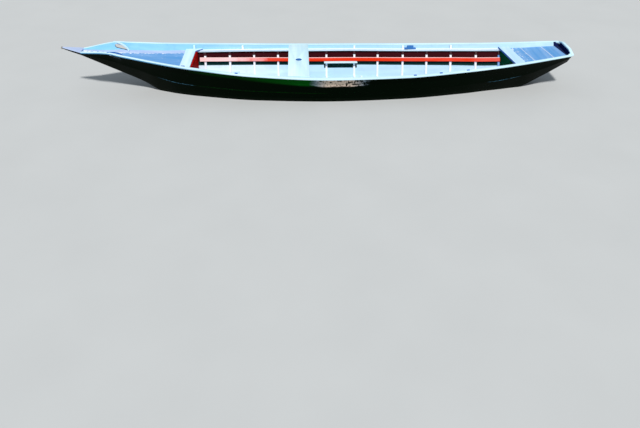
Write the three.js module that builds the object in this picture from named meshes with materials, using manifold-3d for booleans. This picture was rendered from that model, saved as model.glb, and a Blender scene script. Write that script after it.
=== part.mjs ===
// A flat-bottomed lagoon rowing boat (sandolo): pointed bow with a small beak, narrow transom stern,
// half decks fore and aft, one mast thwart, sawn frames and open cockpits.
// Millimetres. X runs from the bow (-X) to the stern (+X), port is -Y, starboard is +Y, Z is up.
// Z is 0 at the underside of the flat bottom.
import * as THREE from "three";
import { mergeVertices } from "three/addons/utils/BufferGeometryUtils.js";
import Module from "manifold-3d";

const wasm = await Module();
wasm.setup();

// Driving sizes. All places along X count from the hull's own middle section.
const BOW = -3797; // the beak's tip
const STERN = 3756; // the transom's outer face
const HULL_FRONT = -3500;
const HULL_BACK = 3726;
const STRAKE = 20; // side plank thickness
const BOTTOM = 26; // bottom plank thickness
const DECK = 22; // deck board thickness
const GAP = 0.3; // between pieces that touch
const LAP = 4; // the upper strake stands this far outside the lower one
const LAP_HEIGHT = 0.48; // of the side's height, where the two strakes meet
const STEP = 75; // between two sections of the hull
const FIT = 1.8; // a piece fitted to the hull's twisting sides stands off them by this
const SNUG = 0.98; // the same for a narrow piece

// The hull's lines: place along X, half-breadth and height of the bottom edge, half-breadth and
// height of the top edge, and the drop from the top edge to the decks and inwales.
const LINES = [
  { x: -3500, bottomY: 42, bottomZ: 648, topY: 84, topZ: 720, drop: 12 },
  { x: -3050, bottomY: 48, bottomZ: 432, topY: 230, topZ: 758, drop: 96 },
  { x: -2900, bottomY: 50, bottomZ: 360, topY: 267, topZ: 736, drop: 95 },
  { x: -2700, bottomY: 54, bottomZ: 262, topY: 312, topZ: 711, drop: 94 },
  { x: -2410, bottomY: 96, bottomZ: 104, topY: 376, topZ: 674, drop: 93 },
  { x: -2100, bottomY: 186, bottomZ: 14, topY: 441, topZ: 641, drop: 86 },
  { x: -1830, bottomY: 266, bottomZ: 0, topY: 492, topZ: 617, drop: 78 },
  { x: -900, bottomY: 462, bottomZ: 0, topY: 620, topZ: 552, drop: 62 },
  { x: 200, bottomY: 534, bottomZ: 0, topY: 677, topZ: 516, drop: 55 },
  { x: 1200, bottomY: 478, bottomZ: 0, topY: 640, topZ: 520, drop: 59 },
  { x: 2170, bottomY: 308, bottomZ: 0, topY: 538, topZ: 554, drop: 63 },
  { x: 2600, bottomY: 206, bottomZ: 12, topY: 476, topZ: 575, drop: 65 },
  { x: 3070, bottomY: 140, bottomZ: 98, topY: 403, topZ: 609, drop: 70 },
  { x: 3400, bottomY: 132, bottomZ: 270, topY: 346, topZ: 637, drop: 61 },
  { x: 3750, bottomY: 138, bottomZ: 496, topY: 282, topZ: 668, drop: 51 },
];

// Bottom planking: a flat middle that the boat stands on, and a ramp at each end
const BOTTOM_PARTS = [
  { name: "bottom_fore", from: HULL_FRONT, to: -1500 },
  { name: "bottom_middle", from: -1500, to: 1800 },
  { name: "bottom_aft", from: 1800, to: HULL_BACK },
];

const HAND_HOLE = { x: -2965, length: 190, height: 50, belowTop: 38, tool: 160 };

const RAIL = { ends: 10, middle: 36, height: 22, round: 5, fit: 1.3, widest: 200, reach: 3900 };

// Frames: the last ones stand closer than the middle ones
const FRAME_XS = [-1771, -1395, -1017, -639, -252, 136, 585, 959, 1360, 1735, 2109, 2494, 2843];
const FRAME = { width: 34, depth: 32, floor: 44, headroom: 3 };

// Long planks are butted over a frame: where each length begins and ends
const lengths = (names, ...ends) =>
  names.map((name, i) => ({ name, from: ends[i], to: ends[i + 1] }));
const LOWER_STRAKE_PARTS = lengths(["fore", "aft"], HULL_FRONT, FRAME_XS[6], HULL_BACK);
const RAIL_PARTS = lengths(["fore", "middle", "aft"], HULL_FRONT, FRAME_XS[0], FRAME_XS[7], HULL_BACK);

const STRINGER = { height: 51, width: 24, belowTop: 230, from: -1850, to: 2858 };
const INWALE = { width: 45, height: 16 };
const INWALE_PARTS = lengths(["fore", "aft"], -2010, FRAME_XS[5], 2900);
const HEAD = { length: 30, belowTop: 14, width: 20, sunk: 4 };
const HEADS = { port: [585, 1360, 2109], starboard: [-1190, 585, 1360, 2109] };

// Cross planks: the fore one widens where it meets the sides, the aft one lies skewed
const FORE_PLANK = { front: -2050, back: -1900, height: 18, flare: 100, reach: 115, headX: -1927 };
const AFT_PLANK = { front: 2869, back: 3022, height: 28 };
const SKEW = 0.1; // the aft plank and seams move forward by this share of Y
const BEYOND = 700; // past the widest deck
const UNDER_PLANK = { fore: 40, aft: 60 }; // the decks run this far under the planks

const BULKHEAD = { x: -1898, thick: 18 };
const FOREDECK = { from: HULL_FRONT + 10, margin: 118, most: 0.6 };
const AFT_SEAMS = [3197, 3490];

const TRANSOM = { from: HULL_BACK + GAP, to: STERN - 8, flat: 140, rise: 40 };
const CAP = { height: 20, width: 40, knee: 45 };

const BEAK = { from: HULL_FRONT - GAP, to: BOW + 22, tipY: 13, topZ: 768, lowZ: 744, board: 12 };
const BEAK_XS = [BEAK.to, -3715, -3655, -3585, BEAK.from];
const BEAK_TIP = { under: 4, over: 3 };
const STEM = { narrower: 6, hollow: 0.8, foot: 0.6 };

const THWART = { front: -465, back: -155, overTop: 6, height: 38 };
const CLEAT = { inset: 20, width: 44, in: 40 };
const MAST = { x: -308, radius: 45 };
const MAST_STEP = { length: 76, width: 130, height: 70, socketX: 50, socketY: 62, depth: 45 };

const FLOOR_BOARD = { height: 14, seam: 5, over: 22, side: 12, widest: 300 };
const COCKPITS = [
  { name: "fore", from: FRAME_XS[0], to: FRAME_XS[3] },
  { name: "aft", from: FRAME_XS[5], to: FRAME_XS[10] },
];

const SHELF = { from: 97, to: 628, width: 70, height: 14, below: 3 };

// Rowlock blocks on the inwales, each in two steps with a square socket
const ROWLOCK = { length: 180, width: 34, height: 20, upper: 100, upperHeight: 34, edge: 2 };
const OAR_SOCKET = { x: 30, y: 16, depth: 34 };
const ROWLOCKS = { port: -1205, starboard: 1470 };

// A column of the hull's lines at x, as a cubic that doesn't overshoot its table.
function smooth(column, x) {
  const n = LINES.length;
  let i = 0;
  while (i < n - 2 && x > LINES[i + 1].x) i += 1;
  const slope = (j) =>
    (LINES[j + 1][column] - LINES[j][column]) / (LINES[j + 1].x - LINES[j].x);
  const tangent = (j) => {
    if (j === 0) return slope(0);
    if (j === n - 1) return slope(n - 2);
    const before = slope(j - 1);
    const after = slope(j);
    return before * after <= 0 ? 0 : (2 * before * after) / (before + after);
  };
  const width = LINES[i + 1].x - LINES[i].x;
  const t = (x - LINES[i].x) / width;
  const t2 = t * t;
  const t3 = t2 * t;
  return (
    LINES[i][column] * (2 * t3 - 3 * t2 + 1) +
    width * tangent(i) * (t3 - 2 * t2 + t) +
    LINES[i + 1][column] * (3 * t2 - 2 * t3) +
    width * tangent(i + 1) * (t3 - t2)
  );
}

// The same column along the straight runs between the hull's sections, so that all pieces agree.
function line(column, x) {
  const before = Math.floor(x / STEP) * STEP;
  const share = (x - before) / STEP;
  return (1 - share) * smooth(column, before) + share * smooth(column, before + STEP);
}

const bottomZ = (x) => line("bottomZ", x);
const topZ = (x) => line("topZ", x);
const deckZ = (x) => topZ(x) - line("drop", x);
const lapZ = (x) => bottomZ(x) + LAP_HEIGHT * (topZ(x) - bottomZ(x));
const floorZ = (x) => bottomZ(x) + BOTTOM + GAP + FRAME.floor;

// Half-breadth of the side's outer face at height z: the sides are straight in every section.
function sideY(x, z) {
  const low = bottomZ(x);
  const share = (z - low) / (topZ(x) - low);
  const y = line("bottomY", x);
  return y + share * (line("topY", x) - y);
}

// The side's inner face, and the free breadth inside the frames.
const innerY = (x, z) => sideY(x, z) - STRAKE - FIT;
const frameY = (x, z) => innerY(x, z) - FRAME.depth - SNUG;

// The places of the hull's sections between from and to, with both ends.
function stations(from, to) {
  const xs = [from];
  for (let x = Math.ceil((from + 1) / STEP) * STEP; x < to - 1; x += STEP) xs.push(x);
  xs.push(to);
  return xs;
}

// The same for one length of a butted plank.
const stationsOf = ({ from, to }) => stations(from + GAP / 2, to - GAP / 2);

// The two ends of a short piece of this length around x.
const around = (x, length) => [x - length / 2, x + length / 2];

// Turns a list of corners and triangles into a geometry whose faces point outwards.
function closed(points, triangles) {
  let volume = 0;
  const [a, b, c] = [new THREE.Vector3(), new THREE.Vector3(), new THREE.Vector3()];
  for (const [i, j, k] of triangles) {
    a.fromArray(points[i]);
    b.fromArray(points[j]);
    c.fromArray(points[k]);
    volume += a.dot(b.cross(c));
  }
  const faces = volume < 0 ? triangles.map(([i, j, k]) => [i, k, j]) : triangles;
  const geometry = new THREE.BufferGeometry();
  geometry.setAttribute("position", new THREE.Float32BufferAttribute(points.flat(), 3));
  geometry.setIndex(faces.flat());
  return geometry;
}

// A solid through the sections that section(x) gives as [y, z] corners, one at each x. The corners
// run anticlockwise, seen from the stern.
function loft(xs, section) {
  const rings = xs.map((x) => section(x).map(([y, z]) => [x, y, z]));
  const n = rings[0].length;
  const cap = THREE.ShapeUtils.triangulateShape(
    rings[0].map(([, y, z]) => new THREE.Vector2(y, z)),
    [],
  );
  const last = (rings.length - 1) * n;
  const triangles = cap.map(([i, j, k]) => [i, k, j]);
  triangles.push(...cap.map(([i, j, k]) => [i + last, j + last, k + last]));
  for (let r = 0; r < rings.length - 1; r += 1) {
    for (let i = 0; i < n; i += 1) {
      const [p, q] = [r * n + i, r * n + ((i + 1) % n)];
      // Every twisting face is split the same way, from low at its front to high at its back.
      const rises = rings[0][(i + 1) % n][2] >= rings[0][i][2];
      if (rises) triangles.push([p, q, q + n], [p, q + n, p + n]);
      else triangles.push([p, q, p + n], [q, q + n, p + n]);
    }
  }
  return closed(rings.flat(), triangles);
}

// A starboard piece as it is, or turned over to port.
function onSide(side, geometry) {
  if (side > 0) return geometry;
  const turned = geometry.clone().scale(1, -1, 1);
  const index = Array.from(turned.index.array);
  for (let i = 0; i < index.length; i += 3) {
    [index[i + 1], index[i + 2]] = [index[i + 2], index[i + 1]];
  }
  return turned.setIndex(index);
}

// An outline of [x, y] corners raised from z to z + height, with round or square holes.
function board(outline, z, height, holes = []) {
  const shape = new THREE.Shape(outline.map(([x, y]) => new THREE.Vector2(x, y)));
  shape.holes.push(...holes);
  const raised = { depth: height, bevelEnabled: false, curveSegments: 10 };
  return new THREE.ExtrudeGeometry(shape, raised).translate(0, 0, z);
}

function box([x0, x1], [y0, y1], [z0, z1]) {
  const geometry = new THREE.BoxGeometry(x1 - x0, y1 - y0, z1 - z0);
  return geometry.translate((x0 + x1) / 2, (y0 + y1) / 2, (z0 + z1) / 2);
}

function toSolid(geometry) {
  const bare = geometry.clone();
  bare.deleteAttribute("normal");
  bare.deleteAttribute("uv");
  const merged = mergeVertices(bare, 1e-3);
  return new wasm.Manifold(
    new wasm.Mesh({
      numProp: 3,
      vertProperties: merged.attributes.position.array,
      triVerts: new Uint32Array(merged.index.array),
    }),
  );
}

function toGeometry(solid) {
  const mesh = solid.getMesh();
  const geometry = new THREE.BufferGeometry();
  geometry.setAttribute("position", new THREE.BufferAttribute(mesh.vertProperties, 3));
  geometry.setIndex(new THREE.BufferAttribute(mesh.triVerts, 1));
  return geometry;
}

const joined = (...pieces) => toGeometry(pieces.map(toSolid).reduce((a, b) => a.add(b)));
const cut = (body, ...tools) =>
  toGeometry(tools.map(toSolid).reduce((a, b) => a.subtract(b), toSolid(body)));

// The part of a deck-high piece inside an outline of [x, y] corners.
function trimmed(body, outline) {
  const inside = board(outline, 0, topZ(HULL_BACK) + BEYOND);
  return toGeometry(toSolid(body).intersect(toSolid(inside)));
}

const boat = new THREE.Group();
boat.position.x = -(BOW + STERN) / 2; // the origin lies under the middle of the boat's length

const paint = (color, roughness = 0.55) =>
  new THREE.MeshStandardMaterial({ color, roughness, metalness: 0 });
const FINISH = {
  hull: paint(0x0b0d0d, 0.25),
  rail: paint(0xc4eeff),
  inwale: paint(0xdff3ff),
  deck: paint(0x66a4dc),
  margin: paint(0xb9cdf2),
  frame: paint(0xf2f8ff),
  red: paint(0xe03a12),
  bulkhead: paint(0x8c1208),
  transom: paint(0x0c2a66),
  floor: paint(0xcfe4f8),
  metal: new THREE.MeshStandardMaterial({ color: 0xd8d4cf, roughness: 0.4, metalness: 0.9 }),
};

function add(name, geometry, finish) {
  const mesh = new THREE.Mesh(geometry, FINISH[finish]);
  mesh.name = name;
  boat.add(mesh);
}

const SIDES = [
  { name: "port", side: -1 },
  { name: "starboard", side: 1 },
];

// Bottom
function bottomSection(x) {
  const z = bottomZ(x);
  const top = z + BOTTOM;
  const low = innerY(x, z);
  const high = innerY(x, top);
  return [[-low, z], [low, z], [high, top], [-high, top]];
}

for (const part of BOTTOM_PARTS) {
  add(part.name, loft(stationsOf(part), bottomSection), "hull");
}

// Sides: two strakes a side, and the upper one has a hand hole near the bow
function strakeSection(low, high, out) {
  return (x) => {
    const [z0, z1] = [low(x), high(x)];
    const [y0, y1] = [sideY(x, z0) + out, sideY(x, z1) + out];
    return [[y0, z0], [y1, z1], [y1 - STRAKE - out, z1], [y0 - STRAKE - out, z0]];
  };
}

function handHole() {
  const { x, length, height, belowTop, tool } = HAND_HOLE;
  const z = topZ(x) - belowTop - height / 2;
  const r = height / 2;
  const slot = new THREE.Shape();
  slot.absarc(length / 2 - r, 0, r, -Math.PI / 2, Math.PI / 2, false);
  slot.absarc(r - length / 2, 0, r, Math.PI / 2, 1.5 * Math.PI, false);
  const sheer = (topZ(x + length / 2) - topZ(x - length / 2)) / length;
  return new THREE.ExtrudeGeometry(slot, { depth: tool, bevelEnabled: false, curveSegments: 5 })
    .translate(0, 0, -tool / 2)
    .rotateX(Math.PI / 2)
    .rotateY(-Math.atan(sheer))
    .translate(x, sideY(x, z), z);
}

for (const { name, side } of SIDES) {
  const lower = strakeSection(bottomZ, (x) => lapZ(x) - GAP, 0);
  for (const part of LOWER_STRAKE_PARTS) {
    const plank = loft(stationsOf(part), lower);
    add(`strake_lower_${part.name}_${name}`, onSide(side, plank), "hull");
  }
  const upper = loft(stations(HULL_FRONT, HULL_BACK), strakeSection(lapZ, topZ, LAP));
  add(`strake_upper_${name}`, onSide(side, cut(upper, handHole())), "hull");
}

// Rub rails outside the top edge, wider amidships
function railWidth(x) {
  const share = Math.cos(((x - RAIL.widest) / RAIL.reach) * (Math.PI / 2));
  return RAIL.ends + (RAIL.middle - RAIL.ends) * Math.max(0, share);
}

function railSection(x) {
  const [z0, z1] = [topZ(x) - RAIL.height, topZ(x)];
  const y0 = sideY(x, z0) + LAP + RAIL.fit;
  const y1 = sideY(x, z1) + LAP + RAIL.fit;
  const out = y1 + railWidth(x);
  const r = RAIL.round;
  return [[y0, z0], [out - r, z0], [out, z0 + r], [out, z1 - r], [out - r, z1], [y1, z1]];
}

for (const { name, side } of SIDES) {
  for (const part of RAIL_PARTS) {
    const rail = loft(stationsOf(part), railSection);
    add(`rub_rail_${part.name}_${name}`, onSide(side, rail), "rail");
  }
}

// Frames: a floor timber and two arms in one piece, bevelled to the hull
function frameSection(x) {
  const z0 = bottomZ(x) + BOTTOM + GAP;
  const z1 = deckZ(x) - INWALE.height - FRAME.headroom;
  const f = floorZ(x);
  const [a, b] = [innerY(x, z1), innerY(x, z0)];
  const [c, d] = [frameY(x, f) + SNUG, frameY(x, z1) + SNUG];
  return [[-b, z0], [b, z0], [a, z1], [d, z1], [c, f], [-c, f], [-d, z1], [-a, z1]];
}

FRAME_XS.forEach((x, i) => {
  const name = `frame_${String(i + 1).padStart(2, "0")}`;
  add(name, loft(around(x, FRAME.width), frameSection), "frame");
});

// Stringers along the frames' inner faces
function stringerSection(x) {
  const z0 = topZ(x) - STRINGER.belowTop;
  const z1 = z0 + STRINGER.height;
  const [y0, y1] = [frameY(x, z0), frameY(x, z1)];
  return [[y0, z0], [y1, z1], [y1 - STRINGER.width, z1], [y0 - STRINGER.width, z0]];
}

for (const { name, side } of SIDES) {
  const xs = stations(STRINGER.from, STRINGER.to);
  add(`stringer_${name}`, onSide(side, loft(xs, stringerSection)), "red");
}

// Inwales from deck to deck, with the timber heads that stand on them
function inwaleSection(x) {
  const z1 = deckZ(x);
  const z0 = z1 - INWALE.height;
  const [y0, y1] = [innerY(x, z0), innerY(x, z1)];
  return [[y0, z0], [y1, z1], [y1 - INWALE.width, z1], [y1 - INWALE.width, z0]];
}

// A timber head at x that stands on a piece whose top is this far above the deck's level.
function head(x, above) {
  const section = (at) => {
    const z0 = deckZ(at) + above - HEAD.sunk;
    const z1 = topZ(at) - HEAD.belowTop;
    const [y0, y1] = [innerY(at, z0), innerY(at, z1)];
    return [[y0, z0], [y1, z1], [y1 - HEAD.width, z1], [y0 - HEAD.width, z0]];
  };
  return loft(around(x, HEAD.length), section);
}

for (const { name, side } of SIDES) {
  for (const part of INWALE_PARTS) {
    const heads = HEADS[name].filter((x) => x > part.from && x < part.to).map((x) => head(x, 0));
    const inwale = joined(loft(stationsOf(part), inwaleSection), ...heads);
    add(`inwale_${part.name}_${name}`, onSide(side, inwale), "inwale");
  }
}

// Fore and aft cross planks, on the decks' ends and the inwales
function plankSection(height) {
  return (x) => {
    const z0 = deckZ(x) + GAP;
    const z1 = z0 + height;
    const [y0, y1] = [innerY(x, z0) - GAP, innerY(x, z1) - GAP];
    return [[-y0, z0], [y0, z0], [y1, z1], [-y1, z1]];
  };
}

function foreCrossPlank() {
  const { front, back, height, flare, reach, headX } = FORE_PLANK;
  const root = innerY(back, deckZ(back)) - reach;
  const outline = [
    [front, BEYOND],
    [back + flare, BEYOND],
    [back + flare, innerY(back + flare, deckZ(back + flare))],
    [back, root],
    [back, -root],
    [back + flare, -innerY(back + flare, deckZ(back + flare))],
    [back + flare, -BEYOND],
    [front, -BEYOND],
  ];
  const plank = trimmed(loft(stations(front, back + flare), plankSection(height)), outline);
  const timberHead = head(headX, height);
  return joined(plank, timberHead, onSide(-1, timberHead));
}

// A strip across the boat between two skewed edges, each given at the middle line.
const skewed = (from, to) => [
  [from - SKEW * BEYOND, BEYOND],
  [to - SKEW * BEYOND, BEYOND],
  [to + SKEW * BEYOND, -BEYOND],
  [from + SKEW * BEYOND, -BEYOND],
];

function aftCrossPlank() {
  const { front, back, height } = AFT_PLANK;
  const xs = stations(front - SKEW * BEYOND, back + SKEW * BEYOND);
  return trimmed(loft(xs, plankSection(height)), skewed(front, back));
}

add("fore_cross_plank", foreCrossPlank(), "rail");
add("aft_cross_plank", aftCrossPlank(), "rail");

// Foredeck: a blue middle board between two paler margins, from the beak to the cross plank
function marginSection(x) {
  const [z0, z1] = [deckZ(x) - DECK, deckZ(x)];
  const [y0, y1] = [innerY(x, z0), innerY(x, z1)];
  const inner = y1 - Math.min(FOREDECK.margin, FOREDECK.most * y1);
  return [[y0, z0], [y1, z1], [inner, z1], [inner, z0]];
}

function middleDeckSection(x) {
  const [z0, z1] = [deckZ(x) - DECK, deckZ(x)];
  const y = marginSection(x)[2][0] - GAP;
  return [[-y, z0], [y, z0], [y, z1], [-y, z1]];
}

const foredeckXs = stations(FOREDECK.from, FORE_PLANK.front + UNDER_PLANK.fore);
add("foredeck", loft(foredeckXs, middleDeckSection), "deck");
for (const { name, side } of SIDES) {
  add(`foredeck_margin_${name}`, onSide(side, loft(foredeckXs, marginSection)), "margin");
}

// Aft deck: three boards across, from the cross plank to the transom
function acrossSection(x) {
  const [z0, z1] = [deckZ(x) - DECK, deckZ(x)];
  const [y0, y1] = [innerY(x, z0), innerY(x, z1)];
  return [[-y0, z0], [y0, z0], [y1, z1], [-y1, z1]];
}

const aftDeck = loft(
  stations(AFT_PLANK.front, HULL_BACK - GAP),
  acrossSection,
);
const aftEdges = [AFT_PLANK.back - UNDER_PLANK.aft, ...AFT_SEAMS, HULL_BACK + SKEW * BEYOND];
for (let i = 0; i < aftEdges.length - 1; i += 1) {
  const strip = skewed(aftEdges[i] + GAP, aftEdges[i + 1] - GAP);
  add(`aft_deck_board_${i + 1}`, trimmed(aftDeck, strip), "deck");
}

// Bulkhead under the fore cross plank, notched for the inwales
function bulkheadSection(x) {
  const z0 = bottomZ(x) + BOTTOM + GAP;
  const z1 = deckZ(x) - INWALE.height - GAP;
  const z2 = deckZ(x);
  const [y0, y1] = [innerY(x, z0), innerY(x, z1)];
  const y2 = innerY(x, z2) - INWALE.width - GAP;
  return [[-y0, z0], [y0, z0], [y1, z1], [y2, z1], [y2, z2], [-y2, z2], [-y2, z1], [-y1, z1]];
}

const bulkheadXs = [BULKHEAD.x, BULKHEAD.x + BULKHEAD.thick];
add("fore_bulkhead", loft(bulkheadXs, bulkheadSection), "bulkhead");

// Transom with a raised middle, and the board on top of it with its two corner knees
function transomSection(x) {
  const z0 = bottomZ(x);
  const z1 = topZ(HULL_BACK) - CAP.height - GAP;
  const z2 = z1 + TRANSOM.rise;
  const [y0, y1] = [sideY(x, z0), sideY(x, z1)];
  const y2 = TRANSOM.flat;
  return [[-y0, z0], [y0, z0], [y1, z1], [y2, z2], [-y2, z2], [-y1, z1]];
}

add("transom", loft([TRANSOM.from, TRANSOM.to], transomSection), "transom");

function transomCap() {
  const low = topZ(HULL_BACK) - CAP.height;
  const high = low + TRANSOM.rise;
  const out = sideY(HULL_BACK, low) + LAP + railWidth(HULL_BACK);
  const inside = (x) => innerY(x, low) - GAP;
  const shoulder = sideY(HULL_BACK, low); // where the slanted ends begin, as on the transom
  const flat = TRANSOM.flat;
  const rise = (y) => low + (TRANSOM.rise * (shoulder - y)) / (shoulder - flat);
  const strip = (end) => () => {
    const edge = Math.max(low, rise(end));
    const under = [[-end, edge], [-flat, high], [flat, high], [end, edge]];
    return [...under, ...under.map(([y, z]) => [y, z + CAP.height]).reverse()];
  };
  const front = STERN - CAP.width;
  const corner = HULL_BACK - CAP.knee;
  const knee = [
    [TRANSOM.from, inside(TRANSOM.from)],
    [corner, inside(corner)],
    [TRANSOM.from, inside(TRANSOM.from) - CAP.knee],
  ];
  const knees = board(knee, low, CAP.height);
  const otherKnees = board(knee.map(([x, y]) => [x, -y]), low, CAP.height);
  const lip = loft([front, TRANSOM.from + 1], strip(inside(TRANSOM.from)));
  return joined(loft([TRANSOM.from, STERN], strip(out)), lip, knees, otherKnees);
}

add("transom_cap", transomCap(), "rail");

// Beak: a solid stem head with a pale board on top and a metal tip
function beakAt(x) {
  const share = (BEAK.from - x) / (BEAK.from - BEAK.to);
  const mixed = (root, tip, amount = share) => root + amount * (tip - root);
  const [rootTop, rootLow] = [topZ(HULL_FRONT), bottomZ(HULL_FRONT)];
  const rootOut = sideY(HULL_FRONT, rootTop) + LAP + railWidth(HULL_FRONT);
  const low = mixed(rootLow, BEAK.lowZ, share ** STEM.hollow);
  return {
    top: mixed(rootTop, BEAK.topZ),
    low,
    out: mixed(rootOut, BEAK.tipY),
    foot: mixed(sideY(HULL_FRONT, low), BEAK.tipY * STEM.foot),
  };
}

function stemSection(x) {
  const { top, low, out, foot } = beakAt(x);
  const z1 = top - BEAK.board - GAP;
  const y1 = out - STEM.narrower;
  return [[-foot, low], [foot, low], [y1, z1], [-y1, z1]];
}

function beakBoardSection(x) {
  const { top, out } = beakAt(x);
  const z0 = top - BEAK.board;
  return [[-out, z0], [out, z0], [out, top], [-out, top]];
}

const tipZs = [BEAK.lowZ - BEAK_TIP.under, BEAK.topZ + BEAK_TIP.over];
add("stem_head", loft(BEAK_XS, stemSection), "hull");
add("beak_board", loft(BEAK_XS, beakBoardSection), "margin");
add("beak_tip", box([BOW, BEAK.to - GAP], [-BEAK.tipY, BEAK.tipY], tipZs), "metal");

// Thwart with its mast hole, on a cleat at each end, and the mast step under it
function thwart() {
  const { front, back, overTop, height } = THWART;
  const z1 = topZ((front + back) / 2) + overTop;
  const z0 = z1 - height;
  const end = (x) => Math.min(innerY(x, z0), innerY(x, z1));
  const outline = [
    [front, end(front)],
    [front, -end(front)],
    [back, -end(back)],
    [back, end(back)],
  ];
  const hole = new THREE.Path().absarc(MAST.x, 0, MAST.radius, 0, 2 * Math.PI, true);
  const slab = board(outline, z0, height, [hole]);
  const xs = [front + CLEAT.inset, back - CLEAT.inset];
  const cleat = box(xs, around(end(front) - CLEAT.in, CLEAT.width), [deckZ(xs[0]) + GAP, z0 + 1]);
  return joined(slab, cleat, onSide(-1, cleat));
}

function mastStep() {
  const { length, width, height, socketX, socketY, depth } = MAST_STEP;
  const z0 = bottomZ(MAST.x) + BOTTOM + GAP;
  const z1 = z0 + height;
  const block = box(around(MAST.x, length), around(0, width), [z0, z1]);
  return cut(block, box(around(MAST.x, socketX), around(0, socketY), [z1 - depth, z1 + 1]));
}

add("thwart", thwart(), "rail");
add("mast_step", mastStep(), "frame");

// Bottom boards on the floor timbers, two to each cockpit
for (const { name, from, to } of COCKPITS) {
  const z = floorZ(0) + GAP;
  const xs = [from - FLOOR_BOARD.over, to + FLOOR_BOARD.over];
  const clear = (x) => frameY(x, z) - FLOOR_BOARD.side;
  const half = Math.min(...xs.map(clear), FLOOR_BOARD.widest);
  const plank = box(xs, [FLOOR_BOARD.seam / 2, half], [z, z + FLOOR_BOARD.height]);
  for (const { name: sideName, side } of SIDES) {
    add(`floor_board_${name}_${sideName}`, onSide(side, plank), "floor");
  }
}

// Shelf under the starboard stringer, against two frames
function shelfSection(x) {
  const z1 = topZ(x) - STRINGER.belowTop - SHELF.below;
  const z0 = z1 - SHELF.height;
  const y = frameY(x, z0);
  return [[y - SHELF.width, z0], [y, z0], [y, z1], [y - SHELF.width, z1]];
}

add("shelf_board", loft(stations(SHELF.from, SHELF.to), shelfSection), "rail");

// Rowlock blocks
function rowlock(x) {
  const { length, width, height, upper, upperHeight, edge } = ROWLOCK;
  const ends = around(x, length);
  const base = Math.max(...ends.map(deckZ)) + GAP;
  const outer = Math.min(...ends.map((at) => innerY(at, base))) - edge;
  const ys = [outer - width, outer];
  const top = base + height + upperHeight;
  const low = box(ends, ys, [base, base + height]);
  const high = box(around(x, upper), ys, [base + height - 1, top]);
  const socketYs = around(outer - width / 2, OAR_SOCKET.y);
  return cut(joined(low, high), box(around(x, OAR_SOCKET.x), socketYs, [top - OAR_SOCKET.depth, top + 1]));
}

for (const { name, side } of SIDES) {
  add(`rowlock_block_${name}`, onSide(side, rowlock(ROWLOCKS[name])), "deck");
}

export default boat;
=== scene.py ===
"""A flat-bottomed lagoon rowing boat (sandolo) in worn oil paint: black topsides, pale blue rails.

The hull is a set of columns (half-breadths and heights) along X, read from a table by a cubic that
does not overshoot. Every plank is a ring of corners carried along those columns. Metres; X runs
from bow to stern, port is -Y, Z is up from the flat bottom.
"""

import math

import bmesh
import bpy
import numpy as np
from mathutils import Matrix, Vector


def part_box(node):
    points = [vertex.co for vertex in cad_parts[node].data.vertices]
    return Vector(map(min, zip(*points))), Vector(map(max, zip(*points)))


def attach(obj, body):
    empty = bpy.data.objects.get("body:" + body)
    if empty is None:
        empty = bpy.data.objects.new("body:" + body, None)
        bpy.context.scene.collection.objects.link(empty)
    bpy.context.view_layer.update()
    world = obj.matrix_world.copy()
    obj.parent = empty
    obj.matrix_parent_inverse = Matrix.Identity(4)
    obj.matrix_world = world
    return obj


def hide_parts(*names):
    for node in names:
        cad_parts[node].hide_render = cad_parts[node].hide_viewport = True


bl_info = {
    "name": "Lagoon rowing boat",
    "version": (1, 0, 0),
    "blender": (4, 5, 0),
    "location": "3D View > Sidebar > Boat",
    "description": "Builds a painted wooden sandolo piece by piece",
    "category": "Add Mesh",
}

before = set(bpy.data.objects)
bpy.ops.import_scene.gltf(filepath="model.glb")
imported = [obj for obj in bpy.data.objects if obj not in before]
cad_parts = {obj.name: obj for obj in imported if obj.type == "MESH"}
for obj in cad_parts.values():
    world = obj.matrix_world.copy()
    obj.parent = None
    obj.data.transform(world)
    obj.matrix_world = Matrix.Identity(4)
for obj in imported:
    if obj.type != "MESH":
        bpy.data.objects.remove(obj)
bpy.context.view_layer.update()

MM = 0.001


def mm(*values):
    """Millimetres as metres."""
    return tuple(value * MM for value in values)


SIDES = {"port": -1, "starboard": 1}
SHIFT = 20.5 * MM  # the hull's middle section lies this far aft of the origin
HULL_FRONT, HULL_BACK = mm(-3500, 3726)
BOW, STERN = mm(-3797, 3756)
BUTTS = mm(-1500, 1800)  # of the bottom planks, in the level part
STRAKE, BOTTOM, DECK, LAP = mm(20, 26, 22, 4)
LAP_ROUND, STRAKE_ROUND = mm(2.5, 3)
LAP_HEIGHT = 0.48  # of the planking's height
FIT = 0.8 * MM  # between a fitted piece and the planking
GAP = 0.3 * MM
SHARP = math.radians(38)  # edges that turn more than this are sharp or get rounded
STATION, BEAK_STATION, FLOOR_STATION = mm(25, 15, 5)  # between two rings along X
# Radii of rounded edges
PLUG_ROUND, DECK_ROUND, EDGE_ROUND, STEM_ROUND, BLOCK_ROUND, SHOE_ROUND = mm(1, 1.5, 2, 2.5, 3, 4)

# The hull's lines in millimetres: place along X, half-breadth and height of the bottom edge,
# half-breadth and height of the top edge, drop from the top edge to the decks and inwales.
COLUMNS = ("x", "bottom_y", "bottom_z", "top_y", "top_z", "drop")
LINES = np.array(
    [
        (-3500, 42, 648, 84, 720, 12),
        (-3050, 48, 432, 230, 758, 96),
        (-2900, 50, 360, 267, 736, 95),
        (-2700, 54, 262, 312, 711, 94),
        (-2410, 96, 104, 376, 674, 93),
        (-2100, 186, 14, 441, 641, 86),
        (-1830, 266, 0, 492, 617, 78),
        (-900, 462, 0, 620, 552, 62),
        (200, 534, 0, 677, 516, 55),
        (1200, 478, 0, 640, 520, 59),
        (2170, 308, 0, 538, 554, 63),
        (2600, 206, 12, 476, 575, 65),
        (3070, 140, 98, 403, 609, 70),
        (3400, 132, 270, 346, 637, 61),
        (3750, 138, 496, 282, 668, 51),
    ],
    float,
) * MM

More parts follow.
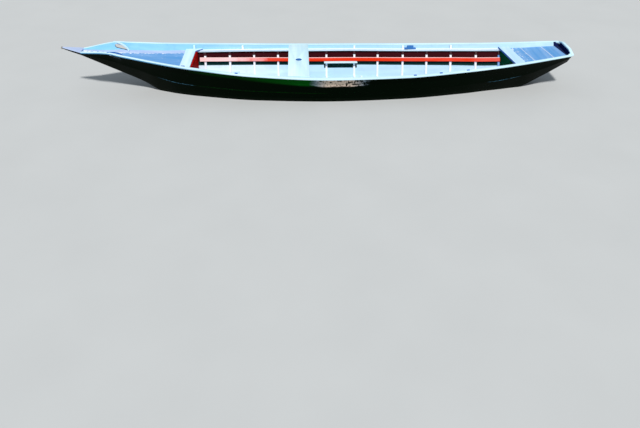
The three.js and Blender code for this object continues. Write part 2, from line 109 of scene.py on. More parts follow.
# Frames, rails, inwales and stringers
FRAME_XS = np.array(
    [-1771, -1395, -1017, -639, -252, 136, 585, 959, 1360, 1735, 2109, 2494, 2843]
) * MM
FRAME_WIDTH, FRAME_DEPTH, FLOOR_HEIGHT, FRAME_FIT = mm(31, 32, 44, 1)
RAIL_ENDS, RAIL_MIDDLE, RAIL_HEIGHT = mm(10, 36, 22)
RAIL_WIDEST, RAIL_REACH, RAIL_ROUND = mm(200, 3900, 5)
SEAM = 0.15 * MM  # between rail and planking, painted over
INWALE_FRONT, INWALE_BACK = mm(-2010, 2900)
INWALE_WIDTH, INWALE_HEIGHT = mm(45, 16)
LIP_WIDTH, LIP_DROP = mm(9, 12)  # the inwale's inner edge hangs before the frames
STRINGER_FRONT, STRINGER_BACK = mm(-1850, 2858)
STRINGER_WIDTH, STRINGER_HEIGHT, STRINGER_DROP = mm(24, 51, 230)
SHELF_FROM, SHELF_TO, SHELF_WIDTH, SHELF_HEIGHT = mm(97, 628, 70, 14)
SHELF_UNDER = 3 * MM  # from the stringer's underside to the shelf
HEAD_LENGTH, HEAD_WIDTH, HEAD_DROP, HEAD_SUNK = mm(30, 20, 14, 4)
HEADS = {
    "port": mm(585, 1360, 2109),
    "starboard": mm(-1190, 585, 1360, 2109),
}
TALL_HEAD, TALL_DROP = ("port", 585 * MM), -12 * MM  # one port head stands above the rail

# Decks, cross planks, bulkhead, stern and beak
PLANK_FRONT, PLANK_BACK, PLANK_HEIGHT = mm(-2050, -1900, 18)
PLANK_FLARE, PLANK_REACH = mm(100, 115)
PLANK_SWEEP = 1.4  # power by which its back edge sweeps aft
PLANK_HEAD, PLANK_OVER = mm(-1927, 40)  # place of its heads, and how far it covers the foredeck
AFT_FRONT, AFT_BACK, AFT_HEIGHT = mm(2869, 3022, 28)
SKEW = 0.1  # the aft plank and seams move forward by this share of Y
SEAMS = mm(2962, 3197, 3490)
SEAM_HALF = 0.6 * MM
ACROSS_RINGS, HALF_GUESS, HALF_ROUNDS = 61, 0.4, 12  # of a plank across the boat
MARGIN, MARGIN_MOST = 118 * MM, 0.6
BULKHEAD_X, BULKHEAD_THICK = mm(-1898, 18)
CROWN_FLAT, CROWN_RISE = mm(140, 40)
CAP_HEIGHT, CAP_WIDTH, CAP_OVER, KNEE = mm(20, 40, 8, 45)
BEAK_ROOT, BEAK_END = mm(-3500.3, -3775)
BEAK_TIP_Y, BEAK_TOP, BEAK_LOW, BEAK_BOARD = mm(13, 768, 744, 12)
BEAK_SWEEP, BEAK_FOOT = 0.8, 0.6  # power of its low edge, and its foot's share of the tip's width
BEAK_OVER = 6 * MM  # the board stands this far over the stem on each side
SHOE_UNDER, SHOE_OVER = mm(4, 3)
MAST_X, MAST_RADIUS = mm(-308, 45)
COLLAR = (mm(-0.3, -0.6), mm(1.4, -0.6), mm(1.4, -62), mm(-0.3, -62))  # inward and up

# Hand holes and small trim
HOLE_X, HOLE_LENGTH, HOLE_HEIGHT, HOLE_DROP = mm(-2980, 170, 48, 38)
HOLE_LEAN = 0.2  # the hole falls aft by this much more than the sheer
HOLE_CUT, HOLE_ROUND = mm(80, 4)
HOLE_NEAR, HOLE_ABOUT = mm(5, 12)  # vertices this near its length and height are on its edge
BAR_X, BAR_LENGTH, BAR_INWARD = mm(-3080, 220, 81)
BAR_WIDTH, BAR_THICK = mm(18, 22)
BAR_TURN = math.radians(86)
# Small blue blocks on the port rail and the fore plank: painted shade marks
PLUGS = np.array([-1200, 1360, 1740, 2140]) * MM
PLUG_LENGTH, PLUG_WIDTH, PLUG_INWARD, PLUG_HEIGHT = mm(42, 30, 14, 5)
PATCH_X, PATCH_Y, PATCH_SIZE, PATCH_HEIGHT = mm(-2000, 300, 55, 2)
SUNK = 1 * MM  # plugs and patch reach this far into what carries them
NAIL_SUNK = 1.2 * MM
NAIL_SHARES = (0.12, 0.40, 0.55, 0.86)  # of the planking's height
NAIL_ASIDE, MARGIN_NAIL, SEAM_NAIL = mm(8, 15, 22)  # from the middle of frame or seam
DECK_PITCH = 140 * MM
NAIL_LEAN = 0.25  # the strakes' nails look down by this much, as the flared planking does
RAIL_NAILS = (HULL_FRONT + 80 * MM, HULL_BACK - 60 * MM)  # first and last nail of a row
DECK_NAILS = (HULL_FRONT + 120 * MM, PLANK_FRONT - 50 * MM)
AFT_NAILS, AFT_HALF = np.linspace(-0.9, 0.9, 7), 0.3  # shares of the aft deck's half, about 0.3 m

# Edges of the paint bands: below the top edge, above the decks, or before the hull's back
BRUSHED = 3 * MM  # half of the strip in which one colour goes over into the other
# Painted shade lines: maroon down to GREEN_LINE, dark green from there to PALE_LINE, or to
# SHELF_SHADOW_LINE beside the shelf
GREEN_LINE, PALE_LINE, SHELF_SHADOW_LINE = mm(245, 305, 350)
# ARM_LINE: the frames carry the painted shade of the inwale down to this far below the decks
BULWARK_LINE, ARM_LINE = mm(-5, -82)
# Navy painted shadow of the transom, this far forward of the hull's back on bulwark and deck
NAVY_INSIDE, NAVY_DECK = mm(77, 45)
NAVY_SKEW = 0.107
LAST_FRAME = AFT_FRONT - 60 * MM
FILLERS = mm(75, 6, 6)  # half-widths of the filler at the aft seams
# Fades of the paint, each from the first place to the second
# BOW_FADE and RAIL_LINE place the rails' painted shade
FORE_FADE, BOW_FADE, RAIL_LINE = mm(-1100, -400), mm(-2400, -1200), mm(18, 15)
RUB_FADE, LANDING = (MARGIN + 40 * MM, MARGIN), mm(3360, 3060)
DARK_ALONG, DARK_ACROSS = mm(160, 80), mm(110, 50)
BLEACHED, SALT = mm(-300, -1000), mm(170, 70)
# LAP_GLINT_EDGE and the GLINT constants place the painted glints on the lap's edge
LAP_GLINT_EDGE, GLINT_FADE = mm(6, 2), mm(20, -80)
GLINT_MIDDLE, GLINT_AWAY = mm(320, 2430)
# The SHEEN constants place the painted green reflection on the enamel
SHEEN_RISE, SHEEN_LEVELS = mm(-1200, -300), mm(85, 45)
SHEEN_X, SCUFF_X = mm(-900, 280)
SHEEN_DEEPER = 70 * MM  # it reaches this much lower amidships
SHEEN_REACH, SCUFF_REACH = mm(1050, 700), mm(620, 250)
SCUFF_LEVELS, SCUFF_WARM = mm(185, 130), mm(360, 160)
# Scales of the patterns, in marks a metre: 4 mm brush marks, 70 mm faded patches, 90 mm grime,
# chips of 25 to 40 mm, and for the enamel 110 mm waves and 6 mm scratches
BRUSH, FADED, GRIME, CHIPS, RUBBED_CHIPS, WAVES, SCRATCHES = 250, 14, 11, 38, 24, 9, 160
CHIP_LIMIT, CHIP_WEAR, CHIP_RIM, CHIP_RUBBED = 0.76, 0.2, 0.04, 0.17  # of a noise about 0.5
GRAIN = 0.06  # coordinates shrink to this share along the wood, so that its patterns are long

# Camera and water level, from the photograph's direct and mirrored points
CAMERA_PLACE = (-0.2515, -8.706, 3.962)
CAMERA_DOWN, CAMERA_TURN = math.radians(35.96), math.radians(1.88)
LENS_MM, SENSOR_MM = 33.75, 36.0
FLOAT_DEPTH, FLOOR_REACH, FLOOR_INSET = 0.10, 40, 8 * MM
SUN_STRENGTH, SUN_COLOUR = 3.1, (1.0, 0.97, 0.93)
SUN_WIDTH, SUN_LEAN = math.radians(5), math.radians(35)
SKY_STRENGTH, SKY_COLOUR = 0.35, (0.80, 0.90, 1.0, 1)


def linear(code):
    """sRGB hex to linear red, green and blue."""
    values = np.array([int(code[i : i + 2], 16) for i in (0, 2, 4)]) / 255
    low = values / 12.92
    high = ((values + 0.055) / 1.055) ** 2.4
    return tuple(float(v) for v in np.where(values <= 0.04045, low, high))


# The hull's surface


def column(name, x):
    """The table's column at x: cubic pieces whose slope at a knot is the harmonic mean of both sides."""
    knots, values = LINES[:, 0], LINES[:, COLUMNS.index(name)]
    slope = np.diff(values) / np.diff(knots)
    before, after = slope[:-1], slope[1:]
    both = before * after
    mean = np.where(both > 0, 2 * both / np.where(before + after == 0, 1, before + after), 0)
    tangent = np.concatenate([slope[:1], mean, slope[-1:]])
    x = np.asarray(x, float)
    i = np.clip(np.searchsorted(knots, x) - 1, 0, len(knots) - 2)
    width = knots[i + 1] - knots[i]
    t = (x - knots[i]) / width
    start = values[i] * (2 * t**3 - 3 * t**2 + 1) + width * tangent[i] * (t**3 - 2 * t**2 + t)
    end = values[i + 1] * (3 * t**2 - 2 * t**3) + width * tangent[i + 1] * (t**3 - t**2)
    return start + end


def top_z(x):
    return column("top_z", x)


def bottom_z(x):
    return column("bottom_z", x)


def deck_z(x):
    return top_z(x) - column("drop", x)


def lap_z(x):
    return bottom_z(x) + LAP_HEIGHT * (top_z(x) - bottom_z(x))


def side_y(x, z):
    """Half-breadth of the planking's outer face: straight from the bottom edge to the top edge."""
    share = (z - bottom_z(x)) / (top_z(x) - bottom_z(x))
    low = column("bottom_y", x)
    return low + share * (column("top_y", x) - low)


def inner_y(x, z):
    return side_y(x, z) - STRAKE - FIT


def frame_y(x, z):
    return inner_y(x, z) - FRAME_DEPTH - FIT


def margin_y(x):
    """Half-breadth of the seam between the foredeck and its margin."""
    half = inner_y(x, deck_z(x))
    return half - np.minimum(MARGIN, MARGIN_MOST * half)


def rail_width(x):
    share = np.cos((x - RAIL_WIDEST) / RAIL_REACH * math.pi / 2)
    return RAIL_ENDS + (RAIL_MIDDLE - RAIL_ENDS) * np.maximum(share, 0)


# Meshes from whole arrays


def stations(start, end, step=STATION):
    """Even places along X from start to end, about a step apart."""
    return np.linspace(start, end, max(2, round((end - start) / step) + 1))


def between(start, end):
    """Stations of a piece that leaves half a gap to its neighbour at each end."""
    return stations(start + GAP / 2, end - GAP / 2)


def about(middle, length):
    """Both ends of a length about its middle."""
    return np.array([middle - length / 2, middle + length / 2])


def rings_of(x, corners):
    """A grid of points: row i is the ring of (y, z) corners at x[i]."""
    rings = np.empty((len(x), len(corners), 3))
    for j, (y, z) in enumerate(corners):
        rings[:, j] = np.stack([x, np.broadcast_to(y, x.shape), np.broadcast_to(z, x.shape)], 1)
    return rings


def block(x, y, z):
    """Rings of a plain block along the places x: y and z are pairs of numbers or arrays."""
    return rings_of(np.asarray(x, float), [(y[0], z[0]), (y[1], z[0]), (y[1], z[1]), (y[0], z[1])])


def corners_on(face, x, *levels):
    """The corners at those levels of a face, which is a function such as inner_y."""
    return [(face(x, z), z) for z in levels]


def mirrored(half):
    """Corners of a whole section, from those of its starboard half."""
    return half + [(-y, z) for y, z in half[::-1]]


def quarter(y, z, radius, start):
    """Corners of a quarter round in place of the corner at y, z: centre plus radius times the cosine
    and sine of four angles, from start on.
    """
    middle = math.radians(start + 45)
    centre_y = y - math.copysign(radius, math.cos(middle))
    centre_z = z - math.copysign(radius, math.sin(middle))
    angles = np.radians(np.linspace(start, start + 90, 4))
    return [(centre_y + radius * math.cos(a), centre_z + radius * math.sin(a)) for a in angles]


def tube(rings, side=1, paints=None, loop=False, ends=0):
    """Vertices, faces, face paints and corner UVs of a solid through the rings.

    Each ring is joined to the next by quads, and the first and last are closed by one face each, or
    joined too if it is a loop. A port piece is the mirror image in Y, with its faces turned round.
    U is the way along the rings and V the way round them, both in metres.
    """
    m, n = rings.shape[:2]
    place = rings.copy()
    place[..., 1] *= side
    i, j = np.meshgrid(np.arange(m if loop else m - 1), np.arange(n), indexing="ij")
    i, j = i.ravel(), j.ravel()
    after, k = (i + 1) % m, (j + 1) % n
    quads = np.stack([i * n + j, i * n + k, after * n + k, after * n + j], 1)
    paint = np.array(paints or [0] * n)[j]
    hops = np.roll(rings.mean(1), -1, axis=0) - rings.mean(1)
    along = np.concatenate([[0], np.cumsum(np.linalg.norm(hops, axis=1))])
    turns = np.linalg.norm(np.roll(rings, -1, axis=1) - rings, axis=2).mean(0)
    around = np.concatenate([[0], np.cumsum(turns)])
    u = along[np.stack([i, i, i + 1, i + 1], 1)]
    v = around[np.stack([j, j + 1, j + 1, j], 1)]
    uv = [*np.stack([u, v], 2)]
    faces = quads.tolist()
    if not loop:
        faces += [list(range(n))[::-1], [(m - 1) * n + a for a in range(n)]]
        uv += [rings[0][::-1, 1:], rings[-1][:, 1:]]
        paint = np.concatenate([paint, [ends, ends]])
    if side < 0:
        faces = [face[::-1] for face in faces]
        uv = [corner[::-1] for corner in uv]
    return place.reshape(-1, 3), faces, paint, np.concatenate(uv)


def piece(name, solids, finishes, node, rounding=EDGE_ROUND, segments=2):
    """One object from tube() solids, moved to the part's frame, with rounded edges and its paints."""
    places, faces, paints, uvs, count = [], [], [], [], 0
    for place, face, paint, uv in solids:
        places.append(place)
        faces += [[a + count for a in f] for f in face]
        paints.append(paint)
        uvs.append(uv)
        count += len(place)
    co = np.concatenate(places)
    co[:, 0] += SHIFT
    mesh = bpy.data.meshes.new(name)
    mesh.from_pydata(co.tolist(), [], faces)
    mesh.polygons.foreach_set("material_index", np.concatenate(paints).astype(np.int32))
    layer = mesh.uv_layers.new(name="UVMap")
    layer.data.foreach_set("uv", np.concatenate(uvs).astype(np.float32).ravel())
    return finished(name, mesh, finishes, node, rounding, segments)


def on_both_sides(name, rings, finishes, node, rounding, segments=2, paints=None):
    """A port and a starboard piece from the same rings."""
    for label, side in SIDES.items():
        solids = [tube(rings, side, paints)]
        stood_for = f"{node}_{label}" if node else None
        piece(f"{name}_{label}", solids, finishes, stood_for, rounding, segments)


def coordinates(mesh):
    """X in the hull's measure, Y and Z of all vertices."""
    co = np.empty(len(mesh.vertices) * 3, np.float32)
    mesh.vertices.foreach_get("co", co)
    return co[0::3] - SHIFT, co[1::3], co[2::3]


def write_levels(mesh):
    """Gives each vertex its distances from the hull's lines, which the paints read as attributes."""
    x, y, z = coordinates(mesh)
    levels = {
        "below_edge": top_z(x) - z,
        "above_deck": z - deck_z(x),
        "above_lap": z - lap_z(x),
        "from_side": inner_y(x, deck_z(x)) - np.abs(y),
    }
    for label, values in levels.items():
        found = mesh.attributes.get(label) or mesh.attributes.new(label, "FLOAT", "POINT")
        found.data.foreach_set("value", values.astype(np.float32))


def in_scene(name, data):
    """An object of the data, in the scene."""
    made = bpy.data.objects.new(name, data)
    bpy.context.scene.collection.objects.link(made)
    return made


def rounded(obj, width, segments, **limits):
    """Rounds the object's edges, those that the bevel's limits name."""
    edge = obj.modifiers.new("rounded edges", "BEVEL")
    edge.width = width
    edge.segments = segments
    edge.harden_normals = True
    for name, value in limits.items():
        setattr(edge, name, value)


def finished(name, mesh, finishes, node, rounding, segments=2):
    """The object of a mesh: levels as attributes, materials, rounded edges, and its place in the frame."""
    write_levels(mesh)
    for finish in finishes:
        mesh.materials.append(paint(finish))
    mesh.shade_smooth()
    if not rounding:
        mesh.set_sharp_from_angle(angle=SHARP)
    obj = in_scene(name, mesh)
    if rounding:
        rounded(obj, rounding, segments, limit_method="ANGLE", angle_limit=SHARP)
    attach(obj, "root")
    if node:
        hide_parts(node)
    return obj


def from_frame(name, node, finish, rounding):
    """A CAD node's own shape, merged to whole faces, with rounded edges."""
    mesh = bpy.data.meshes.new(name)
    work = bmesh.new()
    work.from_mesh(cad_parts[node].data)
    bmesh.ops.remove_doubles(work, verts=work.verts, dist=0.02 * MM)
    flat = math.radians(1)
    bmesh.ops.dissolve_limit(work, angle_limit=flat, verts=work.verts, edges=work.edges)
    work.to_mesh(mesh)
    work.free()
    for layer in list(mesh.uv_layers):
        mesh.uv_layers.remove(layer)
    mesh.materials.clear()
    return finished(name, mesh, [finish], node, rounding)


# Paints


def add(tree, kind, inputs=(), out=0, **settings):
    """Adds a node, sets its properties, gives its inputs, in order or by key, a value or another
    node's output, and returns one output.
    """
    made = tree.nodes.new(f"ShaderNode{kind}")
    for name, value in settings.items():
        setattr(made, name, value)
    for key, value in inputs.items() if isinstance(inputs, dict) else enumerate(inputs):
        if isinstance(value, bpy.types.NodeSocket):
            tree.links.new(value, made.inputs[key])
        else:
            made.inputs[key].default_value = value
    return made.outputs[out]


def new_material(name, recipe):
    """A material whose shader inputs are what the recipe returns for its tree."""
    made = bpy.data.materials.new(name)
    made.use_nodes = True
    tree = made.node_tree
    tree.nodes.clear()
    shader = add(tree, "BsdfPrincipled", recipe(tree))
    output = tree.nodes.new("ShaderNodeOutputMaterial")
    tree.links.new(shader, output.inputs["Surface"])
    return made


def grain_place(tree, along):
    """Object coordinates squeezed along the plank (x, y or z), so that patterns run with the wood."""
    scale = [1.0, 1.0, 1.0]
    scale["xyz".index(along)] = GRAIN
    place = add(tree, "TexCoord", out="Object")
    return add(tree, "Mapping", {"Vector": place, "Scale": scale})


def measures(tree, *labels):
    """At the point, X in the hull's own measure, Y, Z or a level that write_levels gave the mesh."""
    found = []
    for label in labels:
        if label in ("X", "Y", "Z"):
            place = add(tree, "TexCoord", out="Object")
            value = add(tree, "SeparateXYZ", (place,), label)
        else:
            value = add(tree, "Attribute", out="Fac", attribute_name=label)
        if label == "X":
            value = add(tree, "Math", (value, SHIFT), operation="SUBTRACT")
        found.append(value)
    return found


def distance(tree, value, middle):
    """How far the value lies from the middle, on either side."""
    off = add(tree, "Math", (value, middle), operation="SUBTRACT")
    return add(tree, "Math", (off,), operation="ABSOLUTE")


def blend(tree, under, upper, value, fade, most=1.0):
    """The under colour up to the fade's start, and from its end on the upper one, at a share of most."""
    share = add(tree, "MapRange", (value, *fade, 0.0, most))
    return add(tree, "Mix", {0: share, 6: under, 7: upper}, 2, data_type="RGBA")


def painted(tree, under, upper, value, level):
    """The upper colour where value is past level, with an edge brushed out over a few millimetres."""
    return blend(tree, under, upper, value, (level - BRUSHED, level + BRUSHED))


def chips(tree, place, flat, wear, rub):
    """1 where paint has chipped off, ragged at the rims, and more of it where feet and water rub."""
    spread = {"Vector": flat, "Scale": RUBBED_CHIPS} if rub else {"Vector": place, "Scale": CHIPS}
    chip = add(tree, "TexNoise", {**spread, "Detail": 6, "Roughness": 0.7})
    if rub:
        chip = add(tree, "Math", (rub(tree), CHIP_RUBBED, chip), operation="MULTIPLY_ADD")
    limit = CHIP_LIMIT - CHIP_WEAR * wear
    return add(tree, "MapRange", (chip, limit, limit + CHIP_RIM))


def oil_paint(
    tree,
    c,
    colour,
    under="undercoat",
    along="x",
    wear=0.2,
    dirt=0.25,
    shine=0.4,
    fade=0.18,
    bands=None,
    rub=None,
):
    """Brushed oil paint on softwood: brush marks of about 4 mm along the plank, patches that the sun
    has paled, chips of 25 to 40 mm down to the coat below, and grime that darkens it.
    """
    place = grain_place(tree, along)
    flat = add(tree, "TexCoord", out="Object")
    base = bands(tree, c) if bands else c[colour]
    brush = add(tree, "TexNoise", {"Vector": place, "Scale": BRUSH, "Detail": 3})
    sun = add(tree, "TexNoise", {"Vector": place, "Scale": FADED, "Detail": 4})
    share = add(tree, "MapRange", (sun, 0.4, 0.75))
    pale = {"Color": base, "Saturation": 1 - fade, "Value": 1.12, "Fac": share}
    paled = add(tree, "HueSaturation", pale)
    worn = chips(tree, place, flat, wear, rub)
    bare = add(tree, "Mix", {0: worn, 6: paled, 7: c[under]}, 2, data_type="RGBA")
    spot = add(tree, "TexNoise", {"Vector": flat, "Scale": GRIME, "Detail": 7, "Roughness": 0.65})
    grime = add(tree, "MapRange", (spot, 0.52, 0.8, 0.0, dirt))
    dark = {"Color": bare, "Saturation": 1 - 1.6 * fade, "Value": 0.6, "Fac": grime}
    relief = add(tree, "Math", (brush, worn), operation="SUBTRACT")
    return {
        "Base Color": add(tree, "HueSaturation", dark),
        "Normal": add(tree, "Bump", {"Height": relief, "Strength": 0.35, "Distance": 0.6 * MM}),
        "Roughness": add(tree, "MapRange", (brush, 0.0, 1.0, 0.65 - 0.5 * shine, 0.85 - 0.5 * shine)),
        "IOR": 1.47,
        "Specular IOR Level": shine,
    }


def rubbed_margin(tree):
    """1 beside the foredeck's margins, where water and feet rub, fading over 40 mm."""
    return add(tree, "MapRange", (*measures(tree, "from_side"), *RUB_FADE))


def rubbed_landing(tree):
    """1 behind the aft cross plank, where a rower stands, fading over 0.3 m."""
    return add(tree, "MapRange", (*measures(tree, "X"), *LANDING))


def inside_bands(tree, c):
    """The planking's inside: pale bulwark; painted shade in a maroon band under the inwale, a dark green
    band under the stringer that reaches deeper under the shelf, and green behind the last frame; pale
    lower part; navy by the transom, painted shadow of the transom.
    """
    x, y, below, above = measures(tree, "X", "Y", "below_edge", "above_deck")
    pale = blend(tree, c["inside_fore"], c["inside"], x, FORE_FADE)
    # Painted shade: maroon where the inwale's shadow falls, dark green where the stringer's shadow falls
    shade = painted(tree, c["maroon"], c["bilge_green"], below, GREEN_LINE)
    # Painted shade: green aft of the last frame, under the aft plank
    shade = painted(tree, shade, c["hold"], x, AFT_FRONT)
    # Painted shadow of the shelf: the dark green band reaches lower beside it
    away = distance(tree, x, (SHELF_FROM + SHELF_TO) / 2)
    there = add(tree, "Math", (away, (SHELF_TO - SHELF_FROM) / 2), operation="LESS_THAN")
    side = add(tree, "Math", (y, 0.0), operation="GREATER_THAN")
    shelf = add(tree, "Math", (there, side), operation="MULTIPLY")
    lower = add(tree, "Math", (shelf, PALE_LINE - SHELF_SHADOW_LINE, below), operation="MULTIPLY_ADD")
    shade = painted(tree, shade, pale, lower, PALE_LINE)
    bulwark = blend(tree, c["bulwark"], c["bulwark_aft"], x, (HULL_FRONT, HULL_BACK))
    shade = painted(tree, shade, bulwark, above, BULWARK_LINE)
    # Painted shadow: navy on the bulwark just forward of the transom
    return painted(tree, shade, c["navy"], x, HULL_BACK - NAVY_INSIDE)


def frame_bands(tree, c):
    """White frames, the last one blue, with arms painted dark above the stringer, as the planking behind
    them is: painted shade of the inwale.
    """
    x, above = measures(tree, "X", "above_deck")
    shade = painted(tree, c["frames"], c["deck"], x, LAST_FRAME)
    return painted(tree, shade, c["maroon"], above, ARM_LINE)


def darkened_margin(tree, c):
    """Lavender margins, darkened in a ragged patch beside the port hand hole."""
    x, y, away = measures(tree, "X", "Y", "from_side")
    port = add(tree, "Math", (y, 0.0), operation="LESS_THAN")
    beside = add(tree, "MapRange", (away, *DARK_ACROSS, 0.0, port))
    near = add(tree, "MapRange", (distance(tree, x, HOLE_X), *DARK_ALONG, 0.0, beside))
    place = add(tree, "TexCoord", out="Object")
    ragged = add(tree, "TexNoise", {"Vector": place, "Scale": 24, "Detail": 5})
    darkened = add(tree, "Math", (near, ragged), operation="MULTIPLY")
    return blend(tree, c["margin"], c["black"], darkened, (0.16, 0.34))


def rail_side(tree, c):
    """The rails' outer face: darker blue as painted shade along its low edge, and over its whole height
    at the bow.
    """
    x, below = measures(tree, "X", "below_edge")
    high = add(tree, "MapRange", (below, *RAIL_LINE, 0.85, 1.0))
    return blend(tree, c["rail_shade_blue"], c["rail"], x, BOW_FADE, high)


def flare_shaded_edge(tree, c):
    """The fore plank's pale after edge, dark blue as painted shade where it sweeps aft along the sides."""
    return painted(tree, c["edge"], c["rail"], *measures(tree, "from_side"), PLANK_REACH)


def deck_seams(tree, c):
    """Blue deck boards with pale filler along their skewed seams, and navy along the transom as its
    painted shadow.
    """
    x, y = measures(tree, "X", "Y")
    skewed = add(tree, "Math", (y, SKEW, x), operation="MULTIPLY_ADD")
    shade = c["deck"]
    for seam, half in zip(SEAMS, FILLERS):
        shade = painted(tree, c["filler"], shade, distance(tree, skewed, seam), half)
    # Painted shadow: navy on the deck's aft corner, its edge parallel to the transom's top
    stern = add(tree, "Math", (y, NAVY_SKEW, x), operation="MULTIPLY_ADD")
    return painted(tree, shade, c["navy"], stern, HULL_BACK - NAVY_DECK)


def bleached_red(tree, c):
    """The stringer's red, bleached to pink over its fore end, and lighter on the face that looks up as a
    painted highlight.
    """
    place = add(tree, "TexCoord", out="Object")
    patch = add(tree, "TexNoise", {"Vector": place, "Scale": 6, "Detail": 5})
    moved = add(tree, "Math", (patch, 0.9, *measures(tree, "X")), operation="MULTIPLY_ADD")
    fore = add(tree, "MapRange", (moved, *BLEACHED))
    # Painted highlight: the face that looks up turns pale pink
    normal = add(tree, "NewGeometry", out="Normal")
    up = add(tree, "SeparateXYZ", (normal,), "Z")
    top = add(tree, "MapRange", (up, 0.4, 0.8, 0.0, 0.9))
    share = add(tree, "Math", (fore, top), operation="MAXIMUM")
    return add(tree, "Mix", {0: share, 6: c["red"], 7: c["bleached"]}, 2, data_type="RGBA")


def salted(tree, c, place):
    """The enamel's black, with a dull spotted bloom of salt along the water."""
    salt = add(tree, "MapRange", (*measures(tree, "Z"), *SALT, 0.0, 0.5))
    spot = add(tree, "TexNoise", {"Vector": place, "Scale": 22, "Detail": 6})
    dull = add(tree, "Math", (salt, spot), operation="MULTIPLY")
    return add(tree, "Mix", {0: dull, 6: c["black"], 7: c["salt"]}, 2, data_type="RGBA")


def lap_glint_dashes(tree, scratch):
    """1 on the lapped strake's edge, in dashes broken by the scratches, where painted glints and sheen go.
    """
    near = add(tree, "Math", measures(tree, "above_lap"), operation="ABSOLUTE")
    glinting = add(tree, "MapRange", (near, *LAP_GLINT_EDGE))
    return add(tree, "MapRange", (scratch, 0.42, 0.6, 0.0, glinting))


def lap_painted_glints(tree, c, seen, wave, dashes):
    """Painted glints: the dashes turn pale blue in two stretches, one near each end of the hull."""
    away = distance(tree, distance(tree, *measures(tree, "X"), GLINT_MIDDLE), GLINT_AWAY)
    away = add(tree, "Math", (wave, -0.5, away), operation="MULTIPLY_ADD")
    return blend(tree, seen, c["lap"], away, GLINT_FADE, dashes)


def painted_green_reflection(tree, c, seen, dashes):
    """A painted green reflection under the fore rails and on the lap's dashes there, which fades fore and
    aft.
    """
    x, below = measures(tree, "X", "below_edge")
    rise = add(tree, "MapRange", (x, *SHEEN_RISE, 0.35, 1.0))
    level = add(tree, "Math", (rise, -SHEEN_DEEPER, below), operation="MULTIPLY_ADD")
    high = add(tree, "MapRange", (level, *SHEEN_LEVELS, 0.0, rise))
    reflection_share = add(tree, "Math", (high, dashes), operation="MAXIMUM")
    return blend(tree, seen, c["sheen"], distance(tree, x, SHEEN_X), SHEEN_REACH, reflection_share)


def scuffed(tree, c, seen, place, planks):
    """A patch under the port rail scuffed to the primer, warmer in its middle, in specks that get
    fewer aft.
    """
    x, y, below = measures(tree, "X", "Y", "below_edge")
    port = add(tree, "Math", (y, 0.0), operation="LESS_THAN")
    band = add(tree, "MapRange", (below, *SCUFF_LEVELS, 0.0, port))
    away = distance(tree, x, SCUFF_X)
    there = add(tree, "MapRange", (away, *SCUFF_REACH, 0.0, band))
    blot = add(tree, "TexNoise", {"Vector": planks, "Scale": 60, "Detail": 9, "Roughness": 0.75})
    rough = add(tree, "Math", (blot, there), operation="MULTIPLY")
    fleck = add(tree, "TexNoise", {"Vector": place, "Scale": 34, "Detail": 5})
    aft = add(tree, "Math", (x, SCUFF_X), operation="SUBTRACT")
    fleck = add(tree, "Math", (aft, -0.2, fleck), operation="MULTIPLY_ADD")
    specks = add(tree, "MapRange", (fleck, 0.38, 0.5))
    bare = blend(tree, c["primer_blue"], c["primer_warm"], away, SCUFF_WARM)
    return blend(tree, seen, bare, rough, (0.25, 5 / 12), specks)


def black_enamel(tree, c):
    """Black gloss enamel on planed planks: long soft waves in the shine, fine scratches, a dull salt
    band along the water, painted glints of pale blue on the lap's edge near both ends, a painted green
    reflection under the fore rails, and a patch scuffed to the primer under the port rail.
    """
    place, planks = add(tree, "TexCoord", out="Object"), grain_place(tree, "x")
    wave = add(tree, "TexNoise", {"Vector": planks, "Scale": WAVES, "Detail": 2})
    fine = {"Vector": planks, "Scale": SCRATCHES, "Detail": 4, "Roughness": 0.7}
    scratch = add(tree, "TexNoise", fine)
    dashes = lap_glint_dashes(tree, scratch)
    seen = lap_painted_glints(tree, c, salted(tree, c, place), wave, dashes)
    seen = painted_green_reflection(tree, c, seen, dashes)
    relief = add(tree, "Math", (scratch, 0.12, wave), operation="MULTIPLY_ADD")
    return {
        "Base Color": scuffed(tree, c, seen, place, planks),
        "Normal": add(tree, "Bump", {"Height": relief, "Strength": 0.5, "Distance": 1.2 * MM}),
        "Roughness": add(tree, "MapRange", (scratch, 0.0, 1.0, 0.14, 0.34)),
        "IOR": 1.45,
        "Specular IOR Level": 0.03,
        "Specular Tint": (0.35, 1.0, 0.35, 1.0),
    }


def weathered_steel(tree, c):
    """Forged steel shoe of the beak: dull scale with rust freckles of about 3 mm."""
    place = add(tree, "TexCoord", out="Object")
    freckle = add(tree, "TexNoise", {"Vector": place, "Scale": 320, "Detail": 5})
    return {
        "Base Color": blend(tree, c["steel"], c["rust"], freckle, (0.52, 0.68)),
        "Normal": add(tree, "Bump", {"Height": freckle, "Strength": 0.5, "Distance": 0.4 * MM}),
        "Metallic": 0.85,
        "Roughness": 0.42,
    }


def matt_card(tree, c):
    """Pale uncoated card of the studio floor, with a faint mottle."""
    place = add(tree, "TexCoord", out="Object")
    mottle = add(tree, "TexNoise", {"Vector": place, "Scale": 1.2, "Detail": 3})
    seen = add(tree, "Mix", {0: mottle, 6: c["card"], 7: c["card_light"]}, 2, data_type="RGBA")
    return {"Base Color": seen, "Roughness": 0.9}


